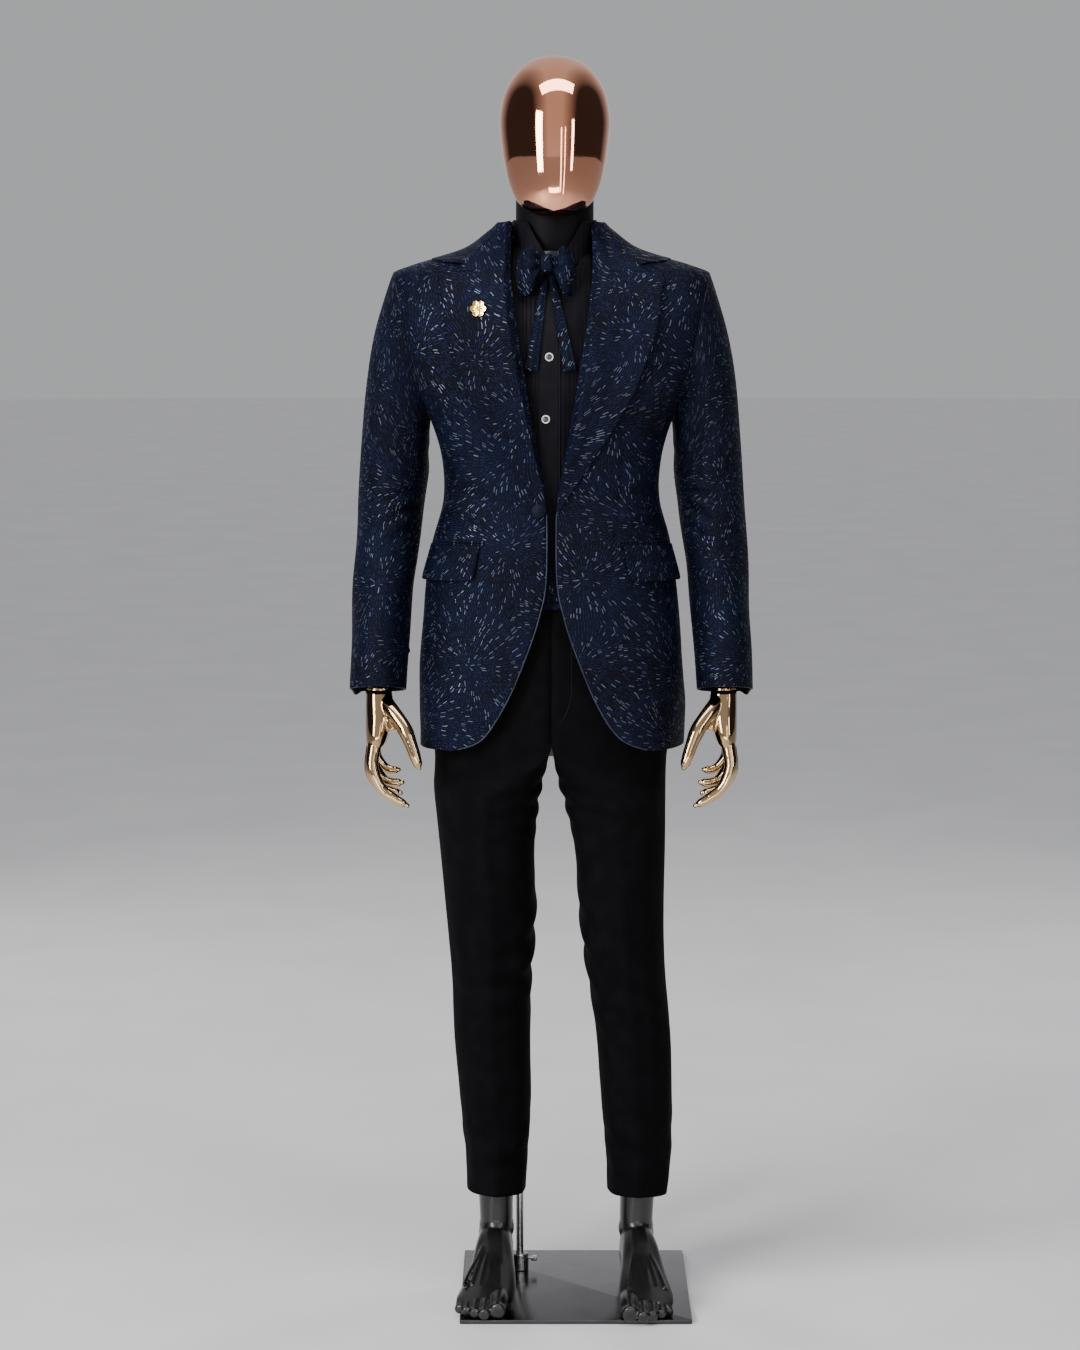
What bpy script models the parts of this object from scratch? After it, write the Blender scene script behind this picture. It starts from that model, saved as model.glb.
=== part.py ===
"""A full body display mannequin in evening dress, on a square steel base.

The frame: +Z up, the figure faces -Y, the origin is under the middle of the base plate, on the floor.
A ring is given by its two ends in the XZ plane and by its front and back in Y.
"""
import bpy
import bmesh
import math
from mathutils import Matrix, Vector

# ---- driving dimensions, metres ----
TOUCH = 0.0004            # gap between pieces that rest on each other
FIT = 0.0003              # running clearance of a pin in its hole

PLATE_SIDE = 0.350
PLATE_THICK = 0.006
ROD_RADIUS = 0.006
ROD_X = -0.086            # from the plate's middle
ROD_Y = 0.078
ROD_TOP = 0.335
COLLAR_RADIUS = 0.014
COLLAR_HEIGHT = 0.026
COLLAR_FLOOR = 0.010      # solid foot of the collar, under the rod
BOLT_RADIUS = 0.003
CLAMP_RADIUS = 0.0025
CLAMP_KNOB = 0.009
SOCKET_WALL = 0.004
SOCKET_FOOT = 0.2544      # foot of the calf socket; its top follows the rod
SOCKET_CAP = 0.004

FIGURE_X = -0.037         # the figure's middle, from the plate's middle
NECK_X = 0.005            # the neck's axis, from the figure's middle
NECK_Y = 0.004
SHELL = 0.003             # wall of the moulded body shells
CLOTH = 0.0025            # wall of the jacket cloth
SHIRTING = 0.0012         # wall of the shirt and trouser cloth
LAPEL_LIFT = CLOTH + 3 * TOUCH
COLLAR_LIFT = 4 * CLOTH   # the collar's roll stands off the neck's slope
SEAM = math.radians(-24)  # the side seams, a little behind the sides
SEAM_GAP = 0.96 * CLOTH

SHOULDER_X = 0.2075       # the arm's turning point, from the figure's middle
SHOULDER_Z = 1.455
SHOULDER_TILT = math.radians(14.0)   # lean of the arm's cut face
ARM_TOP = 0.050           # half height of the arm's cut face
SLEEVE_TOP = 0.112        # half height of the armhole
SLEEVE_DEPTH = 0.086
STUD_RADIUS = 0.008       # pin of the arm and hand fittings
DISC = 0.006              # thickness of the fitting discs
SHOULDER_DISC = 0.034     # radius of the shoulder discs
WRIST_DISC = 0.0200
LEG_DISC = 0.045
SOCKET_DISC = 0.036       # radius of the head's socket

WRIST_X = 0.2600
WRIST_Y = -0.046
WRIST_Z = 0.952
ELBOW_X = 0.2475
ELBOW_Y = 0.006
ELBOW_Z = 1.190

NECK_RADIUS = 0.058
NECK_TOP = 1.712
WAIST_Z = 1.078           # where the chest lifts off the hips
HIP_Z = 0.850             # where the legs meet the hips
HEM_Z = 0.860             # the jacket's hem
TROUSER_HEM = 0.152

BUTTON_X = -0.019
BUTTON_Z = 1.220
PIN_X = -0.101
PIN_Z = 1.516
STUD_LEVELS = (("upper", 1.446, -0.1170), ("lower", 1.355, -0.1200))
BOW_X = 0.001             # the bow's knot, from the figure's middle
BOW_Y = -0.094
BOW_Z = 1.570
# corners of the right pocket flap and the breast welt, as (x, z) from the figure's middle
POCKET = ((-0.101, 1.122), (-0.168, 1.116), (-0.160, 1.168), (-0.090, 1.174))
WELT = ((0.140, 1.430), (0.178, 1.435), (0.177, 1.451), (0.139, 1.446))

BLACK = ((0.012, 0.012, 0.013), 0.25, 0.0)
ROSE_GOLD = ((0.80, 0.44, 0.34), 0.08, 1.0)
DARK_GOLD = ((0.52, 0.40, 0.25), 0.12, 1.0)
STEEL = ((0.45, 0.45, 0.46), 0.25, 1.0)
BROCADE = ((0.018, 0.026, 0.075), 0.60, 0.1)
SHIRT_BLACK = ((0.012, 0.012, 0.016), 0.80, 0.0)
WOOL = ((0.010, 0.010, 0.012), 0.85, 0.0)
GOLD = ((0.85, 0.60, 0.22), 0.25, 1.0)
PEARL = ((0.70, 0.68, 0.62), 0.25, 0.0)

# ---- outlines: z, half width, front, back, squareness ----
CHEST = [
    (WAIST_Z, 0.140, -0.094, 0.085, 2.3),
    (1.130, 0.138, -0.092, 0.080, 2.3),
    (1.200, 0.141, -0.096, 0.078, 2.3),
    (1.300, 0.150, -0.107, 0.090, 2.4),
    (1.380, 0.170, -0.114, 0.100, 2.6),
    (1.415, 0.207, -0.112, 0.104, 2.8),
    (1.455, 0.222, -0.107, 0.105, 2.8),
    (1.500, 0.231, -0.097, 0.103, 2.8),
    (1.532, 0.229, -0.084, 0.098, 2.7),
    (1.560, 0.170, -0.072, 0.087, 2.4),
    (1.600, 0.066, -0.061, 0.071, 2.0),
]
JACKET = [
    (HEM_Z, 0.2000, -0.130, 0.125, 2.6),
    (0.880, 0.2005, -0.130, 0.126, 2.6),
    (0.935, 0.2015, -0.129, 0.127, 2.6),
    (1.006, 0.1970, -0.127, 0.124, 2.6),
    (1.119, 0.1870, -0.121, 0.114, 2.6),
    (1.171, 0.1780, -0.118, 0.107, 2.6),
    (1.230, 0.1620, -0.117, 0.101, 2.6),
    (1.290, 0.1640, -0.123, 0.103, 2.7),
    (1.345, 0.1790, -0.130, 0.111, 2.9),
    (1.400, 0.2080, -0.133, 0.118, 3.2),
    (1.480, 0.2330, -0.126, 0.123, 3.4),
    (1.535, 0.2400, -0.109, 0.118, 3.4),
    (1.564, 0.2400, -0.094, 0.109, 3.0),
    (1.580, 0.2050, -0.084, 0.101, 2.7),
    (1.605, 0.1230, -0.071, 0.089, 2.3),
    (1.643, 0.0730, -0.061, 0.078, 2.1),
]
# the jacket's front edge and the lapel's outer edge: z, distance from the figure's middle
FRONT_EDGE = [
    (HEM_Z, 0.150), (0.880, 0.104), (0.935, 0.067), (1.006, 0.037), (1.064, 0.018), (1.119, 0.008),
    (1.230, 0.008), (1.290, 0.018), (1.345, 0.028), (1.400, 0.037), (1.480, 0.050), (1.535, 0.057),
    (1.580, 0.061), (1.643, 0.060),
]
LAPEL_EDGE = [
    (1.230, 0.014), (1.290, 0.054), (1.345, 0.088), (1.400, 0.116), (1.480, 0.144), (1.535, 0.154),
    (1.564, 0.157), (1.580, 0.120),
]
# sleeve rings: outer x and z, inner x and z, middle in y, half depth, rake of the ring's back
SLEEVE = [
    (0.2525, 1.520, 0.1830, 1.331, 0.002, 0.085, 0.00),
    (0.2680, 1.462, 0.1840, 1.308, 0.004, 0.083, 0.00),
    (0.2790, 1.390, 0.1850, 1.272, 0.006, 0.080, 0.00),
    (0.2880, 1.283, 0.1885, 1.240, 0.008, 0.076, 0.00),
    (0.2945, 1.175, 0.1990, 1.165, 0.006, 0.071, -0.05),
    (0.3000, 1.060, 0.2110, 1.060, -0.012, 0.066, -0.15),
    (0.3040, 0.945, 0.2190, 0.945, -0.040, 0.062, -0.20),
]
ARM = [
    (0.2560, 1.480, 0.1930, 1.385, 0.002, 0.050, 0.00),
    (0.2680, 1.410, 0.1935, 1.320, 0.004, 0.052, 0.00),
    (0.2740, 1.300, 0.1965, 1.260, 0.006, 0.046, 0.00),
    (0.2830, ELBOW_Z, 0.2120, ELBOW_Z, ELBOW_Y, 0.042, -0.05),
    (0.2890, 1.080, 0.2250, 1.080, -0.012, 0.037, -0.15),
    (0.2860, WRIST_Z + 0.004, 0.2340, WRIST_Z + 0.004, WRIST_Y, 0.030, -0.20),
]
# trouser legs: z, outer and inner distance in x from the plate's middle, middle in y, half depth
TROUSER_LEFT = [
    (TROUSER_HEM, -0.1670, -0.0745, 0.052, 0.070),
    (0.200, -0.1690, -0.0730, 0.048, 0.073),
    (0.290, -0.1770, -0.0675, 0.044, 0.076),
    (0.400, -0.1860, -0.0690, 0.030, 0.078),
    (0.500, -0.1905, -0.0665, 0.014, 0.078),
    (0.600, -0.1970, -0.0600, 0.004, 0.083),
    (0.700, -0.2065, -0.0620, 0.000, 0.091),
    (0.800, -0.2170, -0.0520, 0.000, 0.101),
    (0.900, -0.2050, -0.0560, 0.000, 0.098),
]
TROUSER_RIGHT = [
    (TROUSER_HEM, 0.0530, 0.1440, 0.044, 0.070),
    (0.200, 0.0500, 0.1490, 0.042, 0.072),
    (0.290, 0.0420, 0.1510, 0.036, 0.076),
    (0.400, 0.0330, 0.1475, 0.024, 0.078),
    (0.500, 0.0190, 0.1390, 0.010, 0.078),
    (0.600, 0.0050, 0.1355, 0.002, 0.083),
    (0.700, -0.0020, 0.1365, 0.000, 0.091),
    (0.800, -0.0240, 0.1370, 0.000, 0.101),
    (0.900, -0.0180, 0.1300, 0.000, 0.098),
]
SEAT = [
    (0.836, 0.1660, -0.094, 0.098, 2.3),
    (0.885, 0.1800, -0.107, 0.113, 2.4),
    (0.960, 0.1740, -0.108, 0.113, 2.4),
    (1.020, 0.1620, -0.104, 0.103, 2.4),
    (1.080, 0.1500, -0.101, 0.092, 2.3),
    (1.104, 0.1475, -0.100, 0.088, 2.3),
]
# bare legs: z, middle in x from the plate's middle, middle in y, half width, half depth
LEG_LEFT = [
    (0.050, -0.122, 0.036, 0.0240, 0.034),
    (0.100, -0.122, 0.036, 0.0255, 0.031),
    (0.160, -0.123, 0.042, 0.0285, 0.035),
    (0.250, -0.122, 0.048, 0.0420, 0.050),
    (0.340, -0.123, 0.046, 0.0470, 0.056),
    (0.430, -0.126, 0.026, 0.0440, 0.052),
    (0.500, -0.128, 0.012, 0.0480, 0.056),
    (0.620, -0.130, 0.004, 0.0590, 0.070),
    (0.740, -0.130, 0.000, 0.0660, 0.084),
    (HIP_Z - 0.012, -0.130, 0.000, 0.0720, 0.092),
]
LEG_RIGHT = [
    (0.050, 0.096, 0.032, 0.0240, 0.034),
    (0.100, 0.096, 0.032, 0.0255, 0.031),
    (0.160, 0.098, 0.038, 0.0285, 0.035),
    (0.250, 0.098, 0.044, 0.0420, 0.050),
    (0.340, 0.095, 0.040, 0.0470, 0.056),
    (0.430, 0.086, 0.024, 0.0440, 0.052),
    (0.500, 0.079, 0.010, 0.0480, 0.056),
    (0.620, 0.068, 0.002, 0.0590, 0.070),
    (0.740, 0.062, 0.000, 0.0640, 0.084),
    (HIP_Z - 0.012, 0.056, 0.000, 0.0700, 0.092),
]
HIPS = [
    (HIP_Z, 0.1590, -0.087, 0.090, 2.4),
    (0.900, 0.1700, -0.100, 0.105, 2.4),
    (0.960, 0.1650, -0.100, 0.104, 2.4),
    (1.020, 0.1530, -0.097, 0.095, 2.4),
    (WAIST_Z - 0.010, 0.1415, -0.095, 0.086, 2.3),
]
# the foot, from heel to toes: y, lower and upper z, half width, sideways drift
FOOT_SOLE = PLATE_THICK + 0.0005
FOOT = [
    (0.075, 0.030, 0.050, 0.009, 0.000),
    (0.067, 0.006, 0.072, 0.020, 0.000),
    (0.040, 0.000, 0.090, 0.0255, 0.000),
    (0.000, 0.004, 0.090, 0.031, 0.002),
    (-0.050, 0.006, 0.066, 0.037, 0.004),
    (-0.105, 0.000, 0.044, 0.043, 0.004),
    (-0.150, 0.000, 0.028, 0.042, 0.002),
    (-0.178, 0.002, 0.020, 0.032, 0.000),
    (-0.188, 0.006, 0.014, 0.020, -0.002),
]
# the egg head: z, half width, front, back
EGG = [
    (1.6485, 0.012, -0.078, -0.052),
    (1.6530, 0.028, -0.089, -0.032),
    (1.6620, 0.045, -0.099, -0.008),
    (1.6790, 0.060, -0.108, 0.026),
    (1.7140, 0.073, -0.115, 0.064),
    (1.7540, 0.080, -0.117, 0.084),
    (1.7940, 0.083, -0.114, 0.092),
    (1.8300, 0.0765, -0.104, 0.088),
    (1.8540, 0.064, -0.089, 0.076),
    (1.8700, 0.050, -0.070, 0.058),
    (1.8810, 0.032, -0.046, 0.036),
    (1.8865, 0.012, -0.020, 0.012),
]
# digits of a hand, from the knuckle: points x, y, z from the figure's middle, then root and tip radius
FINGERS = {
    "index": ([(0.262, -0.080, 0.872), (0.268, -0.086, 0.836), (0.255, -0.090, 0.804),
               (0.218, -0.094, 0.778)], 0.0105, 0.0070),
    "middle": ([(0.264, -0.062, 0.868), (0.270, -0.064, 0.828), (0.256, -0.068, 0.800),
                (0.228, -0.071, 0.792)], 0.0105, 0.0070),
    "ring": ([(0.262, -0.044, 0.870), (0.268, -0.043, 0.834), (0.252, -0.045, 0.808),
              (0.226, -0.047, 0.806)], 0.0100, 0.0065),
    "little": ([(0.258, -0.028, 0.878), (0.264, -0.024, 0.846), (0.252, -0.024, 0.824),
                (0.232, -0.026, 0.822)], 0.0085, 0.0060),
    "thumb": ([(0.240, -0.074, 0.920), (0.216, -0.092, 0.890), (0.202, -0.102, 0.858),
               (0.194, -0.104, 0.836)], 0.0110, 0.0070),
}
PALM = [
    # x, y, z, half width across the palm, half thickness
    (WRIST_X - 0.001, WRIST_Y - 0.004, WRIST_Z - 0.014, 0.0250, 0.0180),
    (0.2590, -0.054, 0.925, 0.0290, 0.0170),
    (0.2600, -0.055, 0.898, 0.0370, 0.0165),
    (0.2620, -0.055, 0.868, 0.0400, 0.0135),
]


def material(name, finish):
    colour, roughness, metallic = finish
    made = bpy.data.materials.new(name)
    made.use_nodes = True
    shader = made.node_tree.nodes["Principled BSDF"]
    shader.inputs["Base Color"].default_value = (*colour, 1.0)
    shader.inputs["Roughness"].default_value = roughness
    shader.inputs["Metallic"].default_value = metallic
    return made


def make_object(name, bm, finish, parent=None, smooth=True, sheet=False):
    """A named object from a finished bmesh, with its origin on its parent's place."""
    if sheet:
        face_outwards(bm)
    else:
        bmesh.ops.recalc_face_normals(bm, faces=bm.faces)
    mesh = bpy.data.meshes.new(name)
    bm.to_mesh(mesh)
    bm.free()
    made = bpy.data.objects.new(name, mesh)
    bpy.context.scene.collection.objects.link(made)
    mesh.materials.append(material(name, finish))
    if smooth:
        mesh.shade_smooth()
        mesh.set_sharp_from_angle(angle=math.radians(40))
    if parent is not None:
        made.parent = parent
        made.matrix_parent_inverse = parent.matrix_world.inverted()
    return made


def body_empty(name, place=(0, 0, 0), parent=None):
    """An empty that stands on a joint's axis and carries the pieces that move with it."""
    made = bpy.data.objects.new(name, None)
    made.matrix_world = Matrix.Translation(place)
    bpy.context.scene.collection.objects.link(made)
    if parent is not None:
        made.parent = parent
        made.matrix_parent_inverse = parent.matrix_world.inverted()
    bpy.context.view_layer.update()
    return made


def at(points, z):
    """Straight-line reading of a list of (z, value) pairs."""
    if z <= points[0][0]:
        return points[0][1]
    for (z0, v0), (z1, v1) in zip(points, points[1:]):
        if z <= z1:
            return v0 + (v1 - v0) * (z - z0) / (z1 - z0)
    return points[-1][1]


def rounded(angle, power):
    """A point of a superellipse: 2 is round, more is squarer."""
    c, s = math.cos(angle), math.sin(angle)
    share = 2 / power
    return math.copysign(abs(c) ** share, c), math.copysign(abs(s) ** share, s)


def grid(columns, rows, place, wrap=False):
    """A grid sheet whose corners 0..1, 0..1 are laid on place(u, v)."""
    bm = bmesh.new()
    bmesh.ops.create_grid(bm, x_segments=columns, y_segments=rows, size=0.5)
    for v in bm.verts:
        v.co = Vector(place(min(1, max(0, v.co.x + 0.5)), min(1, max(0, v.co.y + 0.5))))
    if wrap:
        bmesh.ops.remove_doubles(bm, verts=bm.verts, dist=0.00001)
    return bm


def close_ends(bm):
    bmesh.ops.holes_fill(bm, edges=[e for e in bm.edges if e.is_boundary], sides=0)
    return bm


def loft(rings, segments, capped=True):
    """A tube through rings, each a function of an angle."""
    last = len(rings) - 1
    bm = grid(segments, last, lambda u, v: rings[round(v * last)](u * math.tau), wrap=True)
    return close_ends(bm) if capped else bm


def level_ring(z, half, front, back, power=2.0, grow=0.0, x=FIGURE_X):
    """A level ring about the figure's middle."""
    middle, depth = (front + back) / 2, (back - front) / 2 + grow

    def ring(angle):
        c, s = rounded(angle, power)
        return (x + c * (half + grow), middle + s * depth, z)
    return ring


def side_ring(outer_x, outer_z, inner_x, inner_z, y, depth, rake, side, grow=0.0):
    """A ring of a sleeve or an arm, on one side of the figure."""
    outer, inner = Vector((outer_x, 0, outer_z)), Vector((inner_x, 0, inner_z))
    middle, half = (outer + inner) / 2, (outer - inner) / 2
    half += half.normalized() * grow

    def ring(angle):
        c, s = math.cos(angle), math.sin(angle)
        p = middle + half * c
        across = s * (depth + grow)
        return (FIGURE_X + side * p.x, y + across, p.z + rake * across)
    return ring


def cut_face(side, away=0.0):
    """A point on the arm's cut face and its normal, which points away from the figure."""
    normal = Vector((side * math.cos(SHOULDER_TILT), 0, -math.sin(SHOULDER_TILT)))
    return Vector((FIGURE_X + side * SHOULDER_X, 0, SHOULDER_Z)) + normal * away, normal


def cut_ring(side, half, depth, away):
    """A ring that lies in the arm's cut face."""
    up = Vector((math.sin(SHOULDER_TILT), 0, math.cos(SHOULDER_TILT)))
    out = Vector((math.cos(SHOULDER_TILT), 0, -math.sin(SHOULDER_TILT)))
    place = Vector((SHOULDER_X, 0, SHOULDER_Z)) + out * away
    top, foot = place + up * half, place - up * half
    return side_ring(top.x, top.z, foot.x, foot.z, 0.0, depth, 0.0, side)


def cut_box(side, gap, keep_inner, name):
    """A box with one face on the arm's cut face, a gap short of it, that takes away one side."""
    tall = SLEEVE_TOP + 0.001 if keep_inner else 0.5
    reach, high = 0.3, 0.2
    point, normal = cut_face(side, -gap if keep_inner else gap)
    out = normal if keep_inner else -normal
    up = Vector((side * math.sin(SHOULDER_TILT), 0, math.cos(SHOULDER_TILT)))
    bm = bmesh.new()
    bmesh.ops.create_cube(bm, size=1.0)
    bmesh.ops.scale(bm, vec=(reach, 0.6, tall + high), verts=bm.verts)
    turn = Matrix((out, out.cross(up) * -1, up)).transposed().to_4x4()
    place = point + out * reach / 2 + up * (high - tall) / 2
    bmesh.ops.transform(bm, matrix=Matrix.Translation(place) @ turn, verts=bm.verts)
    return guide(name, bm)


def cut_at_shoulder(made, side, gap, keep_inner=True):
    """Ends a piece of the trunk, or of the arm, on the arm's cut face."""
    return combine(made, cut_box(side, gap, keep_inner, f"{made.name}_cut_{side}"), "DIFFERENCE")


def face_outwards(bm):
    """Turns an open sheet's faces away from the figure's upright axis."""
    bmesh.ops.recalc_face_normals(bm, faces=bm.faces)
    total = 0.0
    for f in bm.faces:
        middle = f.calc_center_median()
        total += f.normal.dot(Vector((middle.x - FIGURE_X, middle.y, 0))) * f.calc_area()
    if total < 0:
        bmesh.ops.reverse_faces(bm, faces=bm.faces)
    return bm


def thicken(made, wall):
    """Gives an outer skin its wall, on the inner side."""
    added = made.modifiers.new("wall", "SOLIDIFY")
    added.thickness = wall
    added.offset = -1
    return made


def guide(name, bm):
    """A cutting or joining shape that isn't a piece of the figure."""
    made = make_object(name, bm, STEEL)
    made.hide_render = True
    made.display_type = "WIRE"
    return made


def combine(made, other, operation):
    """A Boolean with a guide shape."""
    added = made.modifiers.new(operation.lower(), "BOOLEAN")
    added.operation = operation
    added.object = other
    return made


def turned(profile, place, direction=(0, 0, 1), steps=14):
    """A closed solid turned from (radius, height) points about a direction, from place."""
    bm = bmesh.new()
    verts = [bm.verts.new((r, 0, h)) for r, h in profile]
    edges = [bm.edges.new(pair) for pair in zip(verts, verts[1:])]
    bmesh.ops.spin(bm, geom=verts + edges, cent=(0, 0, 0), axis=(0, 0, 1), angle=math.tau, steps=steps,
                   use_merge=True)
    bmesh.ops.remove_doubles(bm, verts=bm.verts, dist=0.00001)
    turn = Vector((0, 0, 1)).rotation_difference(Vector(direction)).to_matrix().to_4x4()
    bmesh.ops.transform(bm, matrix=Matrix.Translation(place) @ turn, verts=bm.verts)
    return bm


def post(radius, length, place, direction=(0, 0, 1), steps=14):
    """A plain round solid."""
    return turned([(0, 0), (radius, 0), (radius, length), (0, length)], place, direction, steps)


def limb(points, root, tip, segments=8):
    """A tapered digit with a rounded end along a bent line."""
    path = [Vector(p) for p in points]
    ends = [path[-1] + (path[-1] - path[-2]).normalized() * tip * 0.7]
    radii = [root + (tip - root) * i / (len(path) - 1) for i in range(len(path))] + [tip * 0.55]
    path = path + ends
    rings = []
    for i, (place, radius) in enumerate(zip(path, radii)):
        along = (path[min(i + 1, len(path) - 1)] - path[max(i - 1, 0)]).normalized()
        turn = Vector((0, 0, -1)).rotation_difference(along).to_matrix()

        def ring(angle, place=place, radius=radius, turn=turn):
            return place + turn @ Vector((radius * math.cos(angle), radius * math.sin(angle), 0))
        rings.append(ring)
    return loft(rings, segments)


# ---- the base ----
def build_base(parent):
    plate = bmesh.new()
    bmesh.ops.create_cube(plate, size=1.0)
    bmesh.ops.scale(plate, vec=(PLATE_SIDE, PLATE_SIDE, PLATE_THICK), verts=plate.verts)
    bmesh.ops.translate(plate, vec=(0, 0, PLATE_THICK / 2), verts=plate.verts)
    corners = [e for e in plate.edges if abs(e.verts[0].co.z - e.verts[1].co.z) > PLATE_THICK / 2]
    bmesh.ops.bevel(plate, geom=corners, offset=0.003, segments=2, profile=0.5, affect="EDGES")
    plate = make_object("base_plate", plate, STEEL, parent, smooth=False)
    hole, head, inset = BOLT_RADIUS + FIT, BOLT_RADIUS * 2, 0.0005
    head_end = inset + head - BOLT_RADIUS
    profile = [(0, -inset), (head + 2 * inset + TOUCH, -inset), (hole, head_end + TOUCH - FIT),
               (hole, PLATE_THICK + 0.001), (0, PLATE_THICK + 0.001)]
    combine(plate, guide("bolt_hole", turned(profile, (ROD_X, ROD_Y, 0))), "DIFFERENCE")
    reach = PLATE_THICK + COLLAR_FLOOR - 0.003
    profile = [(0, inset), (head, inset), (BOLT_RADIUS, head_end), (BOLT_RADIUS, reach), (0, reach)]
    make_object("base_bolt", turned(profile, (ROD_X, ROD_Y, 0)), STEEL, parent)

    foot = PLATE_THICK + TOUCH
    edge = 0.002
    profile = [(0, 0), (COLLAR_RADIUS, 0), (COLLAR_RADIUS, COLLAR_HEIGHT - edge),
               (COLLAR_RADIUS - edge, COLLAR_HEIGHT), (0, COLLAR_HEIGHT)]
    collar = make_object("rod_collar", turned(profile, (ROD_X, ROD_Y, foot), steps=24), STEEL, parent)
    rod_foot = foot + COLLAR_FLOOR + TOUCH
    bore = post(ROD_RADIUS + FIT, COLLAR_HEIGHT, (ROD_X, ROD_Y, foot + COLLAR_FLOOR))
    combine(collar, guide("rod_bore", bore), "DIFFERENCE")
    thread = post(BOLT_RADIUS + FIT, COLLAR_FLOOR - 0.0015, (ROD_X, ROD_Y, foot - 0.001))
    combine(collar, guide("bolt_thread", thread), "DIFFERENCE")
    clamp_z = foot + (COLLAR_FLOOR + COLLAR_HEIGHT) / 2
    side_hole = post(CLAMP_RADIUS + FIT, COLLAR_RADIUS + 0.004, (ROD_X, ROD_Y, clamp_z), (1, 0, 0), 12)
    combine(collar, guide("clamp_thread", side_hole), "DIFFERENCE")
    length, lead = ROD_TOP - rod_foot, 0.0015
    profile = [(0, 0), (ROD_RADIUS, 0), (ROD_RADIUS, length - lead), (ROD_RADIUS - lead, length),
               (0, length)]
    make_object("support_rod", turned(profile, (ROD_X, ROD_Y, rod_foot), steps=20), STEEL, parent)

    clamp = body_empty("clamp", (ROD_X, ROD_Y, clamp_z), parent)
    start, out = ROD_RADIUS + 2 * FIT, COLLAR_RADIUS + 0.006
    profile = [(0, start), (CLAMP_RADIUS, start), (CLAMP_RADIUS, out), (0.0055, out), (0.0055, out + 0.007),
               (0, out + 0.007)]
    screw = turned(profile, (ROD_X, ROD_Y, clamp_z), (1, 0, 0), 12)
    screw = make_object("clamp_screw", screw, STEEL, clamp)
    bar = bmesh.new()
    bmesh.ops.create_cube(bar, size=1.0)
    bmesh.ops.scale(bar, vec=(0.0035, 2 * CLAMP_KNOB, 0.006), verts=bar.verts)
    bmesh.ops.translate(bar, vec=(ROD_X + out + 0.0036, ROD_Y, clamp_z), verts=bar.verts)
    combine(screw, guide("clamp_wings", bar), "UNION")


# ---- the moulded figure ----
def foot_solid(ankle_x, drift, forward):
    """The bare foot, as one smooth last."""
    rings = []
    for y, low, high, half, sideways in FOOT:
        middle, tall = (low + high) / 2 + FOOT_SOLE, (high - low) / 2
        x = ankle_x + sideways + drift * (0.05 - y)

        def ring(angle, x=x, y=y, z=middle, half=half, tall=tall):
            c, s = rounded(angle, 2.3)
            return (x + c * half, y + forward, z + s * tall)
        rings.append(ring)
    return loft(rings, 14)


def build_legs(parent):
    sides = {"right": (LEG_LEFT, -0.10, 0.0), "left": (LEG_RIGHT, 0.05, -0.012)}
    for side, (outline, drift, forward) in sides.items():
        def rings(wall, extra=0.0):
            return [level_ring(z + (extra if z > 0.8 else 0), half - wall, y - depth + wall,
                               y + depth - wall, 2.1, x=x)
                    for z, x, y, half, depth in outline if wall == 0 or z > 0.08]
        leg = make_object(side + "_leg", loft(rings(0.0), 16), BLACK, parent)
        combine(leg, guide(side + "_foot_last", foot_solid(outline[0][1], drift, forward)), "UNION")
        combine(leg, guide(side + "_leg_core", loft(rings(SHELL, 0.01), 16)), "DIFFERENCE")
        if side == "right":
            seat_foot = 0.17
            hole = post(ROD_RADIUS + FIT + SOCKET_WALL + TOUCH, ROD_TOP + 0.02 - seat_foot,
                        (ROD_X, ROD_Y, seat_foot))
            combine(leg, guide("socket_seat", hole), "DIFFERENCE")
    inner = ROD_RADIUS + FIT
    outer = inner + SOCKET_WALL
    top = ROD_TOP + TOUCH + SOCKET_CAP
    profile = [(inner, SOCKET_FOOT), (outer, SOCKET_FOOT), (outer, top), (0, top),
               (0, top - SOCKET_CAP), (inner, top - SOCKET_CAP), (inner, SOCKET_FOOT)]
    make_object("calf_socket", turned(profile, (ROD_X, ROD_Y, 0)), STEEL, parent)


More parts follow.
